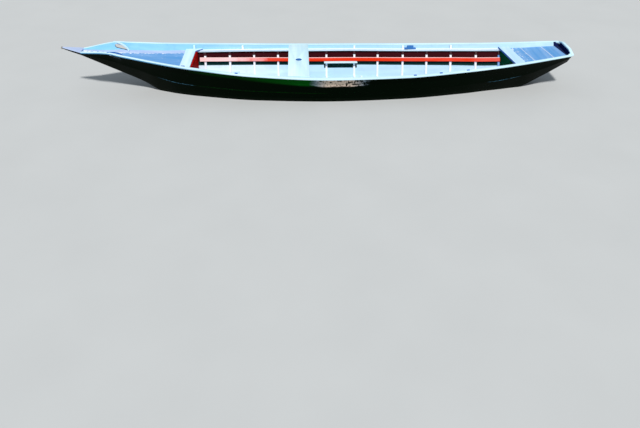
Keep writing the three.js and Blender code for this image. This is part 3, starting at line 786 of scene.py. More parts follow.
COLOURS = {
    "black": ("Topsides", "Black gloss enamel outside", "010602"),
    "rail": ("Rails", "Pale blue of the rails and cross planks", "cdf0ff"),
    "bulwark": ("Bulwark", "Blue of the planking above the decks", "86cbf6"),
    "bulwark_aft": ("Bulwark aft", "Paler blue of the same near the stern", "c0e1ef"),
    "filler": ("Seams", "Pale filler between the deck boards", "cad9f3"),
    # Rowlock blue is also the painted shade on the ends of the inwales' timber heads
    "block": ("Rowlock blocks", "Blue of the rowlock blocks", "3a7cc6"),
    # Painted shade: darker blue on the rails' low edge and, at the bow, their whole outer face
    "rail_shade_blue": ("Rail edge", "Darker blue of the rails' outer edge", "4a94c2"),
    "inside_fore": ("Fore inside", "Palest paint low in the fore cockpit", "def1ff"),
    # Plank edge blue is also the painted shade on the bow bars, the flare, the heads' ends and the shade
    # marks
    "edge": ("Plank edge", "Blue of the aft cross plank's front edge", "1064c0"),
    "inwale": ("Inwales", "Near white of the inwales", "eef5ff"),
    # Inwale edges: painted shade of the inwales' white on their inner face
    "lip": ("Inwale edges", "Pale blue of the inwales' inner edge", "cfeafc"),
    "aft_plank": ("Aft plank", "Pale blue of the aft cross plank", "bde3ff"),
    "deck": ("Decks", "Blue of the deck boards", "5a9cdb"),
    "margin": ("Margins", "Faded lavender of the deck margins", "b1c4ea"),
    "frames": ("Frames", "White of the frames", "f3f7ff"),
    "red": ("Stringers", "Red of the stringers", "e43207"),
    # Bleached red is also the painted highlight on the stringers' top faces
    "bleached": ("Bleached red", "The stringers' sun-bleached part", "fdcfcf"),
    "bulkhead": ("Bulkhead", "Dark red of the bulkhead", "aa0600"),
    # Painted shade inside: maroon under the inwale, dark green under the stringer, green under the aft
    # plank
    "maroon": ("Upper inside", "Maroon behind the stringers", "38020c"),
    "bilge_green": ("Middle inside", "Dark green under the stringers", "0a3634"),
    "hold": ("Stern hold", "Green behind the last frame", "0d7040"),
    "inside": ("Lower inside", "Pale paint low in the boat", "bcdcf4"),
    # Navy: painted shade of the transom's inside and of its shadow on deck and bulwark
    "navy": ("Stern inside", "Dark blue of the transom's inside", "011048"),
    "steel": ("Beak shoe", "Steel of the beak's tip", "b9b6b1"),
    "rust": ("Rust", "Freckles on the beak's tip", "7a5a45"),
    "undercoat": ("Undercoat", "White coat that shows in chips", "f6fafc"),
    "primer": ("Primer", "Grey coat that shows in chips inside", "9aa3a8"),
    "trodden": ("Trodden wood", "Bare wood of the bottom boards", "a9a79c"),
    "salt": ("Salt", "Dull bloom on the enamel along the water", "262b26"),
    # Lap: colour of the painted glints on the lap's edge
    "lap": ("Lap", "Blue coat on the rubbed edge of the lap", "5f9fc0"),
    # Green sheen: painted reflection of green water on the enamel under the fore rails
    "sheen": ("Green sheen", "Cast of the enamel under the fore rails", "024d0e"),
    "primer_blue": ("Scuffed primer", "Primer of the scuffed patch", "7a8c9a"),
    "primer_warm": ("Warm primer", "The same in the patch's middle", "dac6b4"),
    "card": ("Floor", "Pale card of the studio floor", "c2c5c6"),
    "card_light": ("Floor mottle", "Lighter mottle of the floor", "c9cccd"),
}

SIZES = {
    "plank_round": ("Plank edges", "Rounding of the planks' edges", 2.5 * MM, 0.5 * MM, 6 * MM),
    "frame_round": ("Frame edges", "Rounding of the frames' edges", 3 * MM, 0.5 * MM, 8 * MM),
    "nail_pitch": ("Nail pitch", "Between two nails along the rails", 190 * MM, 50 * MM, 500 * MM),
    "nail_head": ("Nail heads", "Radius of a nail's head", 4.5 * MM, 1 * MM, 10 * MM),
}

# The oil paints: what they are, their colour, and what sets them apart
OIL_PAINTS = {
    "rail": ("pale blue oil paint on rails", "rail", dict(wear=0.1, dirt=0.18)),
    "aft_cross": ("pale blue oil paint aft", "aft_plank", dict(along="y", wear=0.15)),
    "cross": ("pale blue oil paint on planks", "rail", dict(along="y", wear=0.15)),
    "inwale": ("white oil paint on inwales", "inwale", dict(under="bulwark", wear=0.1)),
    # Its bands hold painted shade under the inwale, the stringer, the shelf and the aft plank
    "inside": (
        "banded oil paint inside",
        "inside",
        dict(under="primer", wear=0.05, shine=0.1, fade=0.05, bands=inside_bands),
    ),
    "deck": ("worn blue oil paint", "deck", dict(wear=0.65, rub=rubbed_margin)),
    "aft_deck": (
        "worn blue oil paint across",
        "deck",
        dict(along="y", wear=0.2, bands=deck_seams, rub=rubbed_landing),
    ),
    "margin": ("faded lavender oil paint", "margin", dict(wear=0.5, bands=darkened_margin)),
    "frames": (
        "white oil paint on frames",
        "frames",
        dict(under="margin", along="z", wear=0.1, bands=frame_bands),
    ),
    "block": ("blue oil paint on blocks", "block", dict(under="margin", wear=0.2)),
    "edge": (
        "blue oil paint on the plank's edge",
        "edge",
        dict(under="bulwark", along="y", wear=0.1),
    ),
    "flare": (
        "oil paint on the fore plank's edge",
        "rail",
        dict(along="y", wear=0.1, bands=flare_shaded_edge),
    ),
    "rail_shade_blue": (
        "blue oil paint on the rail's edge",
        "rail_shade_blue",
        dict(under="rail", wear=0.1, bands=rail_side),
    ),
    "lip": ("blue oil paint on the inwale's edge", "lip", dict(wear=0.1)),
    "red": (
        "sun-bleached red oil paint",
        "red",
        dict(under="bleached", shine=0.1, fade=0.04, bands=bleached_red),
    ),
    "bulkhead": (
        "dark red oil paint",
        "bulkhead",
        dict(under="primer", along="z", wear=0.0, shine=0.02, fade=0.0),
    ),
    # Navy paint that stands for painted shade on the transom's inside
    "navy": (
        "dark blue oil paint",
        "navy",
        dict(under="deck", along="y", wear=0.1, shine=0.05, fade=0.0),
    ),
    "floor": ("trodden pale oil paint", "inside", dict(under="trodden", wear=0.5, dirt=0.35)),
}
OTHER_FINISHES = {
    "black": ("black gloss enamel", black_enamel),
    "steel": ("weathered steel", weathered_steel),
    "card": ("matt card", matt_card),
}
PAINTS = {}


def paint(name):
    """The material of that name, made once from the scene's colours."""
    if name not in PAINTS:
        colours = bpy.context.scene.boat_colours
        c = {key: (*getattr(colours, key), 1.0) for key in COLOURS}
        if name in OIL_PAINTS:
            words, colour, settings = OIL_PAINTS[name]
            recipe = lambda tree: oil_paint(tree, c, colour, **settings)
        else:
            words, finish = OTHER_FINISHES[name]
            recipe = lambda tree: finish(tree, c)
        PAINTS[name] = new_material(words, recipe)
    return PAINTS[name]


def colour_property(label, words, code):
    return bpy.props.FloatVectorProperty(
        name=label, description=words, subtype="COLOR", size=3, min=0, max=1, default=linear(code)
    )


def size_property(label, words, value, least, most):
    return bpy.props.FloatProperty(
        name=label,
        description=words,
        subtype="DISTANCE",
        unit="LENGTH",
        default=value,
        min=least,
        max=most,
    )


class BoatColours(bpy.types.PropertyGroup):
    """Paint colours, as linear values."""

    __annotations__ = {key: colour_property(*value) for key, value in COLOURS.items()}


class BoatSizes(bpy.types.PropertyGroup):
    """Sizes that change the finish and not the hull."""

    __annotations__ = {key: size_property(*value) for key, value in SIZES.items()}


# Pieces


def lower_strake(x):
    """Corners of the lower side plank: outside low and high, inside high and low."""
    z0, z1 = bottom_z(x), lap_z(x)
    y0, y1 = side_y(x, z0), side_y(x, z1)
    return [(y0, z0), (y1, z1), (y1 - STRAKE, z1), (y0 - STRAKE, z0)]


def upper_strake(x):
    """Corners of the upper side plank, which laps 4 mm over the lower one: its low outer and high
    inner edges are rounded, and its high outer edge is sharp, because the rail covers it.
    """
    z0, z1 = lap_z(x) + GAP, top_z(x)
    y0, y1 = side_y(x, z0), side_y(x, z1)
    low = quarter(y0 + LAP, z0, LAP_ROUND, -90)
    high = quarter(y1 - STRAKE, z1, STRAKE_ROUND, 90)
    return [*low, (y1 + LAP, z1), *high, (y0 - STRAKE, z0)]


def hole_outline(z):
    """X and Z of the hand hole's edge: two half circles a straight piece apart, leaned with the sheer."""
    half, r = HOLE_LENGTH / 2, HOLE_HEIGHT / 2
    sheer = (top_z(HOLE_X + half) - top_z(HOLE_X - half)) / HOLE_LENGTH - HOLE_LEAN
    turn = np.linspace(-math.pi / 2, math.pi / 2, 13)
    along = np.concatenate([half - r + r * np.cos(turn), r - half - r * np.cos(turn)])
    up = np.concatenate([r * np.sin(turn), -r * np.sin(turn)])
    return np.stack([HOLE_X + along, z + up + sheer * along], 1)


def hole_cutter(z, side):
    """The hole's outline carried across the planking."""
    y = float(side_y(HOLE_X, z))
    outline = hole_outline(z)
    rings = np.stack([np.insert(outline, 1, y + reach, axis=1) for reach in (HOLE_CUT, -HOLE_CUT)])
    place, faces, _, _ = tube(rings, side)
    place[:, 0] += SHIFT
    mesh = bpy.data.meshes.new("cutter")
    mesh.from_pydata(place.tolist(), [], faces)
    return in_scene("cutter", mesh)


def cut_hole(obj, side):
    """Cuts the hand hole and rounds its edge."""
    z = top_z(HOLE_X) - HOLE_DROP - HOLE_HEIGHT / 2
    cutter = hole_cutter(z, side)
    hole = obj.modifiers.new("hole", "BOOLEAN")
    hole.object = cutter
    hole.solver = "EXACT"
    with bpy.context.temp_override(object=obj):
        bpy.ops.object.modifier_apply(modifier="hole")
    bpy.data.objects.remove(cutter)
    obj.data.set_sharp_from_angle(angle=SHARP)
    write_levels(obj.data)
    xs, _, zs = coordinates(obj.data)
    near = np.abs(xs - HOLE_X) < HOLE_LENGTH / 2 + HOLE_NEAR
    near &= np.abs(zs - z) < HOLE_HEIGHT / 2 + HOLE_ABOUT
    group = obj.vertex_groups.new(name="hole edge")
    group.add(np.flatnonzero(near).tolist(), 1.0, "REPLACE")
    rounded(obj, HOLE_ROUND, 3, limit_method="VGROUP", vertex_group="hole edge")


class BOAT_OT_planking(bpy.types.Operator):
    """Builds the two strakes of each side, the upper one with its hand hole"""

    bl_idname = "boat.planking"
    bl_label = "Side planking"

    def execute(self, context):
        rounding = context.scene.boat_sizes.plank_round
        finishes = ["black", "rail", "inside"]
        butt = float(FRAME_XS[6])
        parts = {"fore": (HULL_FRONT, butt), "aft": (butt, HULL_BACK)}
        for label, side in SIDES.items():
            for part, (start, end) in parts.items():
                x = between(start, end)
                lower = tube(rings_of(x, lower_strake(x)), side, [0, 2, 2, 0])
                name, node = f"lower_strake_{part}_{label}", f"strake_lower_{part}_{label}"
                piece(name, [lower], finishes, node, rounding)
            x = stations(HULL_FRONT, HULL_BACK)
            upper = tube(rings_of(x, upper_strake(x)), side, [0, 0, 0, 0, 1, 1, 1, 1, 2, 0])
            name, node = f"upper_strake_{label}", f"strake_upper_{label}"
            cut_hole(piece(name, [upper], finishes, node, 0), side)
        return {"FINISHED"}


class BOAT_OT_bottom(bpy.types.Operator):
    """Builds the flat bottom and its two ramps"""

    bl_idname = "boat.bottom"
    bl_label = "Bottom"

    def execute(self, context):
        ends = (HULL_FRONT, *BUTTS, HULL_BACK)
        for name, start, end in zip(("bottom_fore", "bottom_middle", "bottom_aft"), ends, ends[1:]):
            x = between(start, end)
            z0, z1 = bottom_z(x), bottom_z(x) + BOTTOM
            y0, y1 = inner_y(x, z0), inner_y(x, z1)
            solid = tube(rings_of(x, [(-y0, z0), (y0, z0), (y1, z1), (-y1, z1)]), 1, [0, 0, 1, 0])
            piece(f"{name}_planks", [solid], ["black", "floor"], name)
        return {"FINISHED"}


class BOAT_OT_rails(bpy.types.Operator):
    """Builds the rub rails outside the top edge, in three lengths a side"""

    bl_idname = "boat.rails"
    bl_label = "Rub rails"

    def execute(self, context):
        ends = (HULL_FRONT, float(FRAME_XS[0]), float(FRAME_XS[7]), HULL_BACK)
        for part, start, end in zip(("fore", "middle", "aft"), ends, ends[1:]):
            x = between(start, end)
            z0, z1 = top_z(x) - RAIL_HEIGHT, top_z(x)
            y0, y1 = (side_y(x, z) + LAP + SEAM for z in (z0, z1))
            out = y1 + rail_width(x)
            low, high = quarter(out, z0, RAIL_ROUND, -90), quarter(out, z1, RAIL_ROUND, 0)
            rings = rings_of(x, [(y0, z0), *low, *high, (y1, z1)])
            finishes, paints = ["rail", "rail_shade_blue"], [1] * 5 + [0] * 5
            on_both_sides(f"rail_{part}", rings, finishes, f"rub_rail_{part}", 0, paints=paints)
        return {"FINISHED"}


def head_solid(x, above, side, drop=HEAD_DROP):
    """A timber head: a short block along the bulwark, from the piece it stands on to under the edge. Its
    ends take the piece's third paint, blue painted shade.
    """
    at = about(x, HEAD_LENGTH)
    z0, z1 = deck_z(at) + above - HEAD_SUNK, top_z(at) - drop
    y0, y1 = inner_y(at, z0), inner_y(at, z1)
    rings = rings_of(at, [(y0 - HEAD_WIDTH, z0), (y0, z0), (y1, z1), (y1 - HEAD_WIDTH, z1)])
    return tube(rings, side, ends=2)


class BOAT_OT_inwales(bpy.types.Operator):
    """Builds the inwales and the timber heads on them"""

    bl_idname = "boat.inwales"
    bl_label = "Inwales"

    def execute(self, context):
        ends = (INWALE_FRONT, float(FRAME_XS[5]), INWALE_BACK)
        for part, start, end in zip(("fore", "aft"), ends, ends[1:]):
            x = between(start, end)
            z0, z1 = deck_z(x) - INWALE_HEIGHT, deck_z(x)
            edge, low = inner_y(x, z1) - INWALE_WIDTH, z0 - LIP_DROP
            lip = edge + LIP_WIDTH
            outer = corners_on(inner_y, x, z0, z1)
            rings = rings_of(x, [(edge, low), (lip, low), (lip, z0), *outer, (edge, z1)])
            for label, side in SIDES.items():
                # The inner edge face takes the pale blue lip paint, painted shade against the white top
                solids = [tube(rings, side, [0, 0, 0, 0, 0, 1])]
                for at in HEADS[label]:
                    drop = TALL_DROP if (label, at) == TALL_HEAD else HEAD_DROP
                    if start < at < end:
                        solids.append(head_solid(at, 0, side, drop))
                name, node = f"inwales_{part}_{label}", f"inwale_{part}_{label}"
                piece(name, solids, ["inwale", "lip", "block"], node)
        return {"FINISHED"}


class BOAT_OT_frames(bpy.types.Operator):
    """Builds the thirteen frames: a floor timber and two arms each"""

    bl_idname = "boat.frames"
    bl_label = "Frames"

    def execute(self, context):
        rounding = context.scene.boat_sizes.frame_round
        for i, middle in enumerate(FRAME_XS):
            x = about(middle, FRAME_WIDTH)
            low, high = bottom_z(x) + BOTTOM, deck_z(x) - INWALE_HEIGHT - FRAME_FIT
            floor = low + FLOOR_HEIGHT
            half = corners_on(inner_y, x, low, high) + corners_on(frame_y, x, high, floor)
            solid = tube(rings_of(x, mirrored(half)))
            name, node = f"timber_{i + 1:02d}", f"frame_{i + 1:02d}"
            piece(name, [solid], ["frames"], node, rounding)
        return {"FINISHED"}


class BOAT_OT_stringers(bpy.types.Operator):
    """Builds the red stringers and the small shelf"""

    bl_idname = "boat.stringers"
    bl_label = "Stringers and shelf"

    def execute(self, context):
        rounding = context.scene.boat_sizes.plank_round
        x = stations(STRINGER_FRONT, STRINGER_BACK)
        z0 = top_z(x) - STRINGER_DROP
        z1 = z0 + STRINGER_HEIGHT
        y0, y1 = frame_y(x, z0), frame_y(x, z1)
        rings = rings_of(x, [(y0, z0), (y1, z1), (y1 - STRINGER_WIDTH, z1), (y0 - STRINGER_WIDTH, z0)])
        on_both_sides("red_stringer", rings, ["red"], "stringer", rounding, 3)
        x = stations(SHELF_FROM, SHELF_TO)
        z1 = top_z(x) - STRINGER_DROP - SHELF_UNDER
        z0 = z1 - SHELF_HEIGHT
        y = frame_y(x, z0)
        shelf = tube(block(x, (y - SHELF_WIDTH, y), (z0, z1)))
        piece("side_shelf", [shelf], ["rail"], "shelf_board")
        return {"FINISHED"}


class BOAT_OT_foredeck(bpy.types.Operator):
    """Builds the foredeck's middle board and its two margins"""

    bl_idname = "boat.foredeck"
    bl_label = "Foredeck"

    def execute(self, context):
        x = stations(HULL_FRONT + GAP, PLANK_FRONT + PLANK_OVER)
        z0, z1 = deck_z(x) - DECK, deck_z(x)
        seam = margin_y(x)
        edge = seam - GAP
        top = [(edge * share, z1) for share in np.linspace(1, -1, 13)]
        middle = tube(rings_of(x, [(-edge, z0), (edge, z0), *top]))
        piece("foredeck_board", [middle], ["deck"], "foredeck", DECK_ROUND)
        margin = rings_of(x, [(seam, z0), *corners_on(inner_y, x, z0, z1), (seam, z1)])
        on_both_sides("deck_margin", margin, ["margin"], "foredeck_margin", DECK_ROUND)
        return {"FINISHED"}


def bar(points, width, thick):
    """Rings of a flat bar along a curve: each is square to the curve, its width is the curve's
    direction crossed with up, and its thickness is square to both.
    """
    ahead = np.gradient(points, axis=0)
    ahead /= np.linalg.norm(ahead, axis=1)[:, None]
    aside = np.cross(ahead, (0, 0, 1.0))
    aside /= np.linalg.norm(aside, axis=1)[:, None]
    up = np.cross(aside, ahead)
    corners = ((1, -1), (-1, -1), (-1, 1), (1, 1))
    rings = [points + a * width / 2 * aside + b * thick / 2 * up for a, b in corners]
    return np.stack(rings, 1)


class BOAT_OT_bow_bars(bpy.types.Operator):
    """Builds the bent bar beside each hand hole: a quarter ellipse from the rail down to the deck"""

    bl_idname = "boat.bow_bars"
    bl_label = "Bow bars"

    def execute(self, context):
        turn = np.linspace(0, BAR_TURN, 25)
        top = top_z(BAR_X)
        x = BAR_X + BAR_LENGTH * np.sin(turn)
        y = side_y(BAR_X, top) - BAR_INWARD * np.sin(turn)
        z = top - (top - deck_z(BAR_X + BAR_LENGTH)) * (1 - np.cos(turn))
        rings = bar(np.stack([x, y, z], 1), BAR_WIDTH, BAR_THICK)
        # The outboard face is dark blue, painted shade
        on_both_sides("bow_bar", rings, ["rail", "edge"], None, BLOCK_ROUND, 3, [0, 1, 0, 0])
        return {"FINISHED"}


class BOAT_OT_plugs(bpy.types.Operator):
    """Builds small blue blocks on the port rail and a patch on the fore cross plank, as painted shade
    marks
    """

    bl_idname = "boat.plugs"
    bl_label = "Plugs"

    def execute(self, context):
        solids = []
        for middle in PLUGS:
            x = about(middle, PLUG_LENGTH)
            y, z = side_y(x, top_z(x)) - PLUG_INWARD, top_z(x)
            plug = block(x, (y, y + PLUG_WIDTH), (z - SUNK, z + PLUG_HEIGHT))
            solids.append(tube(plug, SIDES["port"]))
        x = about(PATCH_X, PATCH_SIZE)
        z = deck_z(x) + PLANK_HEIGHT
        patch = block(x, about(-PATCH_Y, PATCH_SIZE), (z - SUNK, z + PATCH_HEIGHT))
        piece("shade_marks", solids + [tube(patch)], ["edge"], None, PLUG_ROUND)
        return {"FINISHED"}


def line(x, skew=SKEW):
    """A straight edge across the boat, at x on the middle line, that moves forward by skew of Y."""
    return lambda y: x - skew * y


def swept(y):
    """The fore plank's back edge at y, which sweeps aft by a power law near the sides."""
    half = float(inner_y(PLANK_BACK, deck_z(PLANK_BACK)))
    share = np.clip((np.abs(y) - (half - PLANK_REACH)) / PLANK_REACH, 0, 1)
    return PLANK_BACK + PLANK_FLARE * share**PLANK_SWEEP


def across(front, back, height, below=0.0, paints=None):
    """A plank across the boat, as rings from port to starboard. At share s from -1 to 1 each edge
    has its point at y = s * half, where half is that edge's own half-breadth of the hull, found by
    a few rounds of half = inner_y(x(y)).
    """
    share = np.linspace(-1, 1, ACROSS_RINGS)
    points = []
    for edge in (back, front):
        half = np.full_like(share, HALF_GUESS)
        for _ in range(HALF_ROUNDS):
            x = edge(np.sign(share) * half)
            half = inner_y(x, deck_z(x)) - GAP
        y = share * half
        points.append((edge(y), y))
    rings = np.empty((len(share), 4, 3))
    for j, (pick, up) in enumerate(((0, 0), (0, 1), (1, 1), (1, 0))):
        x, y = points[pick]
        rings[:, j] = np.stack([x, y, deck_z(x) + GAP - below + up * height], 1)
    return tube(rings, 1, paints)


class BOAT_OT_cross_planks(bpy.types.Operator):
    """Builds the flared fore cross plank with its heads, and the skewed aft one"""

    bl_idname = "boat.cross_planks"
    bl_label = "Cross planks"

    def execute(self, context):
        # The back face takes the flare paint: painted shade where it sweeps aft
        fore = [across(line(PLANK_FRONT, 0), swept, PLANK_HEIGHT, paints=[1, 0, 0, 0])]
        fore += [head_solid(PLANK_HEAD, PLANK_HEIGHT, side) for side in SIDES.values()]
        finishes = ["cross", "flare", "edge"]
        piece("fore_plank", fore, finishes, "fore_cross_plank", STEM_ROUND, 3)
        aft = [across(line(AFT_FRONT), line(AFT_BACK), AFT_HEIGHT, paints=[0, 0, 1, 0])]
        piece("aft_plank", aft, ["aft_cross", "edge"], "aft_cross_plank", BLOCK_ROUND, 3)
        return {"FINISHED"}


class BOAT_OT_aft_deck(bpy.types.Operator):
    """Builds the three boards of the aft deck"""

    bl_idname = "boat.aft_deck"
    bl_label = "Aft deck"

    def execute(self, context):
        backs = [line(seam - SEAM_HALF) for seam in SEAMS[1:]]
        backs.append(line(HULL_BACK - GAP - SEAM_HALF, 0))
        for i, (seam, back) in enumerate(zip(SEAMS, backs)):
            board = across(line(seam + SEAM_HALF), back, DECK, below=DECK + GAP)
            name, node = f"deck_board_{i + 1}", f"aft_deck_board_{i + 1}"
            piece(name, [board], ["aft_deck"], node, DECK_ROUND)
        return {"FINISHED"}


class BOAT_OT_bulkhead(bpy.types.Operator):
    """Builds the bulkhead under the fore cross plank"""

    bl_idname = "boat.bulkhead"
    bl_label = "Bulkhead"

    def execute(self, context):
        x = np.array([BULKHEAD_X, BULKHEAD_X + BULKHEAD_THICK])
        z0 = bottom_z(x) + BOTTOM
        z1, z2 = deck_z(x) - INWALE_HEIGHT - GAP, deck_z(x)
        y2 = inner_y(x, z2) - INWALE_WIDTH - GAP
        half = corners_on(inner_y, x, z0, z1) + [(y2, z1), (y2, z2)]
        solid = tube(rings_of(x, mirrored(half)))
        piece("red_bulkhead", [solid], ["bulkhead"], "fore_bulkhead")
        return {"FINISHED"}


class BOAT_OT_stern(bpy.types.Operator):
    """Builds the transom, its crowned cap and the corner knees"""

    bl_idname = "boat.stern"
    bl_label = "Stern"

    def execute(self, context):
        low = float(top_z(HULL_BACK)) - CAP_HEIGHT
        x = np.array([HULL_BACK + GAP, STERN - CAP_OVER])
        z0, z1 = bottom_z(x), low - GAP
        half = [(side_y(x, z0), z0), (side_y(x, low), z1), (CROWN_FLAT, z1 + CROWN_RISE)]
        solid = tube(rings_of(x, mirrored(half)))
        made = piece("stern_board", [solid], ["black", "navy"], "transom")
        # The transom's inside face takes navy, painted shade
        front = min(made.data.polygons, key=lambda f: f.center.x)
        front.material_index = 1
        cap = cap_spans(low) + [tube(knee(low), side) for side in SIDES.values()]
        piece("stern_cap", cap, ["rail"], "transom_cap", BLOCK_ROUND, 3)
        return {"FINISHED"}


def cap_spans(low):
    """The cap as rings along Y: a slope up to the flat middle and down, 40 mm wide between the sides
    and 30 mm wide over them.
    """
    out = float(side_y(HULL_BACK, low)) + LAP + RAIL_ENDS
    inner = float(inner_y(HULL_BACK, low))
    middle = np.array([-inner, -CROWN_FLAT, CROWN_FLAT, inner])
    ends, back = np.array([inner + GAP, out]), HULL_BACK + GAP
    solids = []
    for front, y in [(STERN - CAP_WIDTH, middle), (back, ends), (back, -ends[::-1])]:
        z = low + CROWN_RISE * np.clip((out - np.abs(y)) / (out - CROWN_FLAT), 0, 1)
        corners = ((STERN, 0), (STERN, CAP_HEIGHT), (front, CAP_HEIGHT), (front, 0))
        rings = [np.stack([np.full_like(y, x), y, z + up], 1) for x, up in corners]
        solids.append(tube(np.stack(rings, 1)))
    return solids


def knee(low):
    """Rings of the quarter-round knee in the cap's corner: it widens by one less the cosine."""
    x = np.linspace(HULL_BACK - KNEE, HULL_BACK, 9)
    edge = inner_y(x, low) - KNEE * (1 - np.cos(np.linspace(0, math.pi / 2, 9)))
    return block(x, (edge, inner_y(x, low + CAP_HEIGHT)), (low, low + CAP_HEIGHT))


def beak_at(x):
    """Top, low edge, half-breadth and foot of the beak: straight lines and a power law to the tip."""
    share = np.clip((BEAK_ROOT - x) / (BEAK_ROOT - BEAK_END), 0, 1)
    root_top, root_low = float(top_z(HULL_FRONT)), float(bottom_z(HULL_FRONT))
    root_out = float(side_y(HULL_FRONT, root_top)) + LAP + RAIL_ENDS
    low = root_low + share**BEAK_SWEEP * (BEAK_LOW - root_low)
    foot = side_y(HULL_FRONT, low)
    top = root_top + share * (BEAK_TOP - root_top)
    out = root_out + share * (BEAK_TIP_Y - root_out)
    return top, low, out, foot + share * (BEAK_FOOT * BEAK_TIP_Y - foot)


class BOAT_OT_beak(bpy.types.Operator):
    """Builds the beak: stem head, board on top and steel shoe"""

    bl_idname = "boat.beak"
    bl_label = "Beak"

    def execute(self, context):
        x = stations(BEAK_END, BEAK_ROOT, BEAK_STATION)
        top, low, out, foot = beak_at(x)
        under = top - BEAK_BOARD
        y, z = out - BEAK_OVER, under - GAP
        stem = rings_of(x, [(-foot, low), (foot, low), (y, z), (-y, z)])
        piece("stem_block", [tube(stem)], ["black"], "stem_head", STEM_ROUND)
        board = block(x, (-out, out), (under, top))
        piece("beak_top", [tube(board)], ["margin"], "beak_board", BLOCK_ROUND, 3)
        tip = (BOW, BEAK_END - GAP)
        shoe = block(tip, (-BEAK_TIP_Y, BEAK_TIP_Y), (BEAK_LOW - SHOE_UNDER, BEAK_TOP + SHOE_OVER))
        piece("beak_shoe", [tube(shoe)], ["steel"], "beak_tip", SHOE_ROUND, 3)
        return {"FINISHED"}


class BOAT_OT_thwart(bpy.types.Operator):
    """Builds the mast thwart, the ring in its hole and the mast step under it"""

    bl_idname = "boat.thwart"
    bl_label = "Thwart and mast step"

    def execute(self, context):
        from_frame("mast_thwart", "thwart", "cross", BLOCK_ROUND)
        turn = np.linspace(0, 2 * math.pi, 48, endpoint=False)
        rings = np.empty((len(turn), len(COLLAR), 3))
        for j, (inward, up) in enumerate(COLLAR):
            radius = MAST_RADIUS - inward
            rings[:, j, 0] = MAST_X + radius * np.cos(turn)
            rings[:, j, 1] = radius * np.sin(turn)
            rings[:, j, 2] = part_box("thwart")[1].z + up
        piece("mast_collar", [tube(rings, loop=True)], ["block"], None, 0)
        from_frame("mast_step_block", "mast_step", "frames", BLOCK_ROUND)
        return {"FINISHED"}


def nail_heads(x, y, z, normal, radius):
    """Low domes on a surface: each has rings of eight points at 1 and 0.7 of the radius, the upper
    one a quarter of the radius up, and a crown point a little higher.
    """
    points = np.stack([x, y, z], 1)[:, None]
    normal = normal / np.linalg.norm(normal)
    aside = np.cross(normal, (0.36, 0.48, 0.8))
    aside /= np.linalg.norm(aside)
    turn = np.linspace(0, 2 * math.pi, 8, endpoint=False)
    circle = radius * (np.outer(np.cos(turn), aside) + np.outer(np.sin(turn), np.cross(normal, aside)))
    up = radius * normal
    base, rim = points + circle - 0.1 * up, points + 0.7 * circle + 0.25 * up
    co = np.concatenate([base, rim, points + 0.35 * up], 1)
    i = np.arange(8)
    k = (i + 1) % 8
    walls = np.stack([i, k, k + 8, i + 8], 1)
    tops = np.stack([i + 8, k + 8, np.full(8, 16)], 1)
    first = np.arange(len(points)) * 17
    faces = (first[:, None, None] + walls).reshape(-1, 4).tolist()
    faces += (first[:, None, None] + tops).reshape(-1, 3).tolist()
    faces += (first[:, None] + i[::-1]).tolist()
    corners = sum(len(face) for face in faces)
    return co.reshape(-1, 3), faces, np.zeros(len(faces), int), np.zeros((corners, 2))


def rail_nails(pitch, radius):
    """Nails along the middle of the rails' outer faces."""
    x = stations(*RAIL_NAILS, pitch)
    y = side_y(x, top_z(x)) + LAP + rail_width(x) - NAIL_SUNK
    z = top_z(x) - RAIL_HEIGHT / 2
    return [nail_heads(x, side * y, z, (0, side, 0), radius) for side in SIDES.values()]


def plank_nails(radius):
    """Two nails in each strake at every frame, at shares of the planking's height."""
    x = (FRAME_XS[:, None] + (-NAIL_ASIDE, NAIL_ASIDE)).ravel()
    solids = []
    for side in SIDES.values():
        for share in NAIL_SHARES:
            z = bottom_z(x) + share * (top_z(x) - bottom_z(x))
            y = side_y(x, z) + (LAP if share > LAP_HEIGHT else 0)
            solids.append(nail_heads(x, side * y, z, (0, side, -NAIL_LEAN), radius))
    return solids


def deck_nails(radius):
    """Nails on both sides of the seams of the foredeck's margins and of the aft deck."""
    up = (0, 0, 1.0)
    solids = []
    x = stations(*DECK_NAILS, DECK_PITCH)
    for side in SIDES.values():
        for inward in (-MARGIN_NAIL, MARGIN_NAIL):
            solids.append(nail_heads(x, side * (margin_y(x) + inward), deck_z(x), up, radius))
    for seam in SEAMS[1:]:
        for aside in (-SEAM_NAIL, SEAM_NAIL):
            x = seam + aside - SKEW * AFT_HALF * AFT_NAILS
            y = AFT_NAILS * inner_y(x, deck_z(x))
            solids.append(nail_heads(x, y, deck_z(x), up, radius))
    return solids


class BOAT_OT_nails(bpy.types.Operator):
    """Builds the nail heads in the rails, the planking and the decks"""

    bl_idname = "boat.nails"
    bl_label = "Nail heads"

    def execute(self, context):
        sizes = context.scene.boat_sizes
        piece("rail_nails", rail_nails(sizes.nail_pitch, sizes.nail_head), ["rail"], None, 0)
        piece("plank_nails", plank_nails(sizes.nail_head), ["black"], None, 0)
        piece("deck_nails", deck_nails(sizes.nail_head), ["margin"], None, 0)
        return {"FINISHED"}


class BOAT_OT_floor_boards(bpy.types.Operator):
    """Builds the loose bottom boards"""

    bl_idname = "boat.floor_boards"
    bl_label = "Bottom boards"

    def execute(self, context):
        for node in sorted(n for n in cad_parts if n.startswith("floor_board")):
            low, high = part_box(node)
            board = block((low.x - SHIFT, high.x - SHIFT), (low.y, high.y), (low.z, high.z))
            piece(f"loose_{node}", [tube(board)], ["floor"], node)
        return {"FINISHED"}


class BOAT_OT_rowlocks(bpy.types.Operator):
    """Builds the two stepped rowlock blocks"""

    bl_idname = "boat.rowlocks"
    bl_label = "Rowlock blocks"

    def execute(self, context):
        for label, finish in (("port", "cross"), ("starboard", "block")):
            from_frame(f"rowlock_{label}", f"rowlock_block_{label}", finish, EDGE_ROUND)
        return {"FINISHED"}


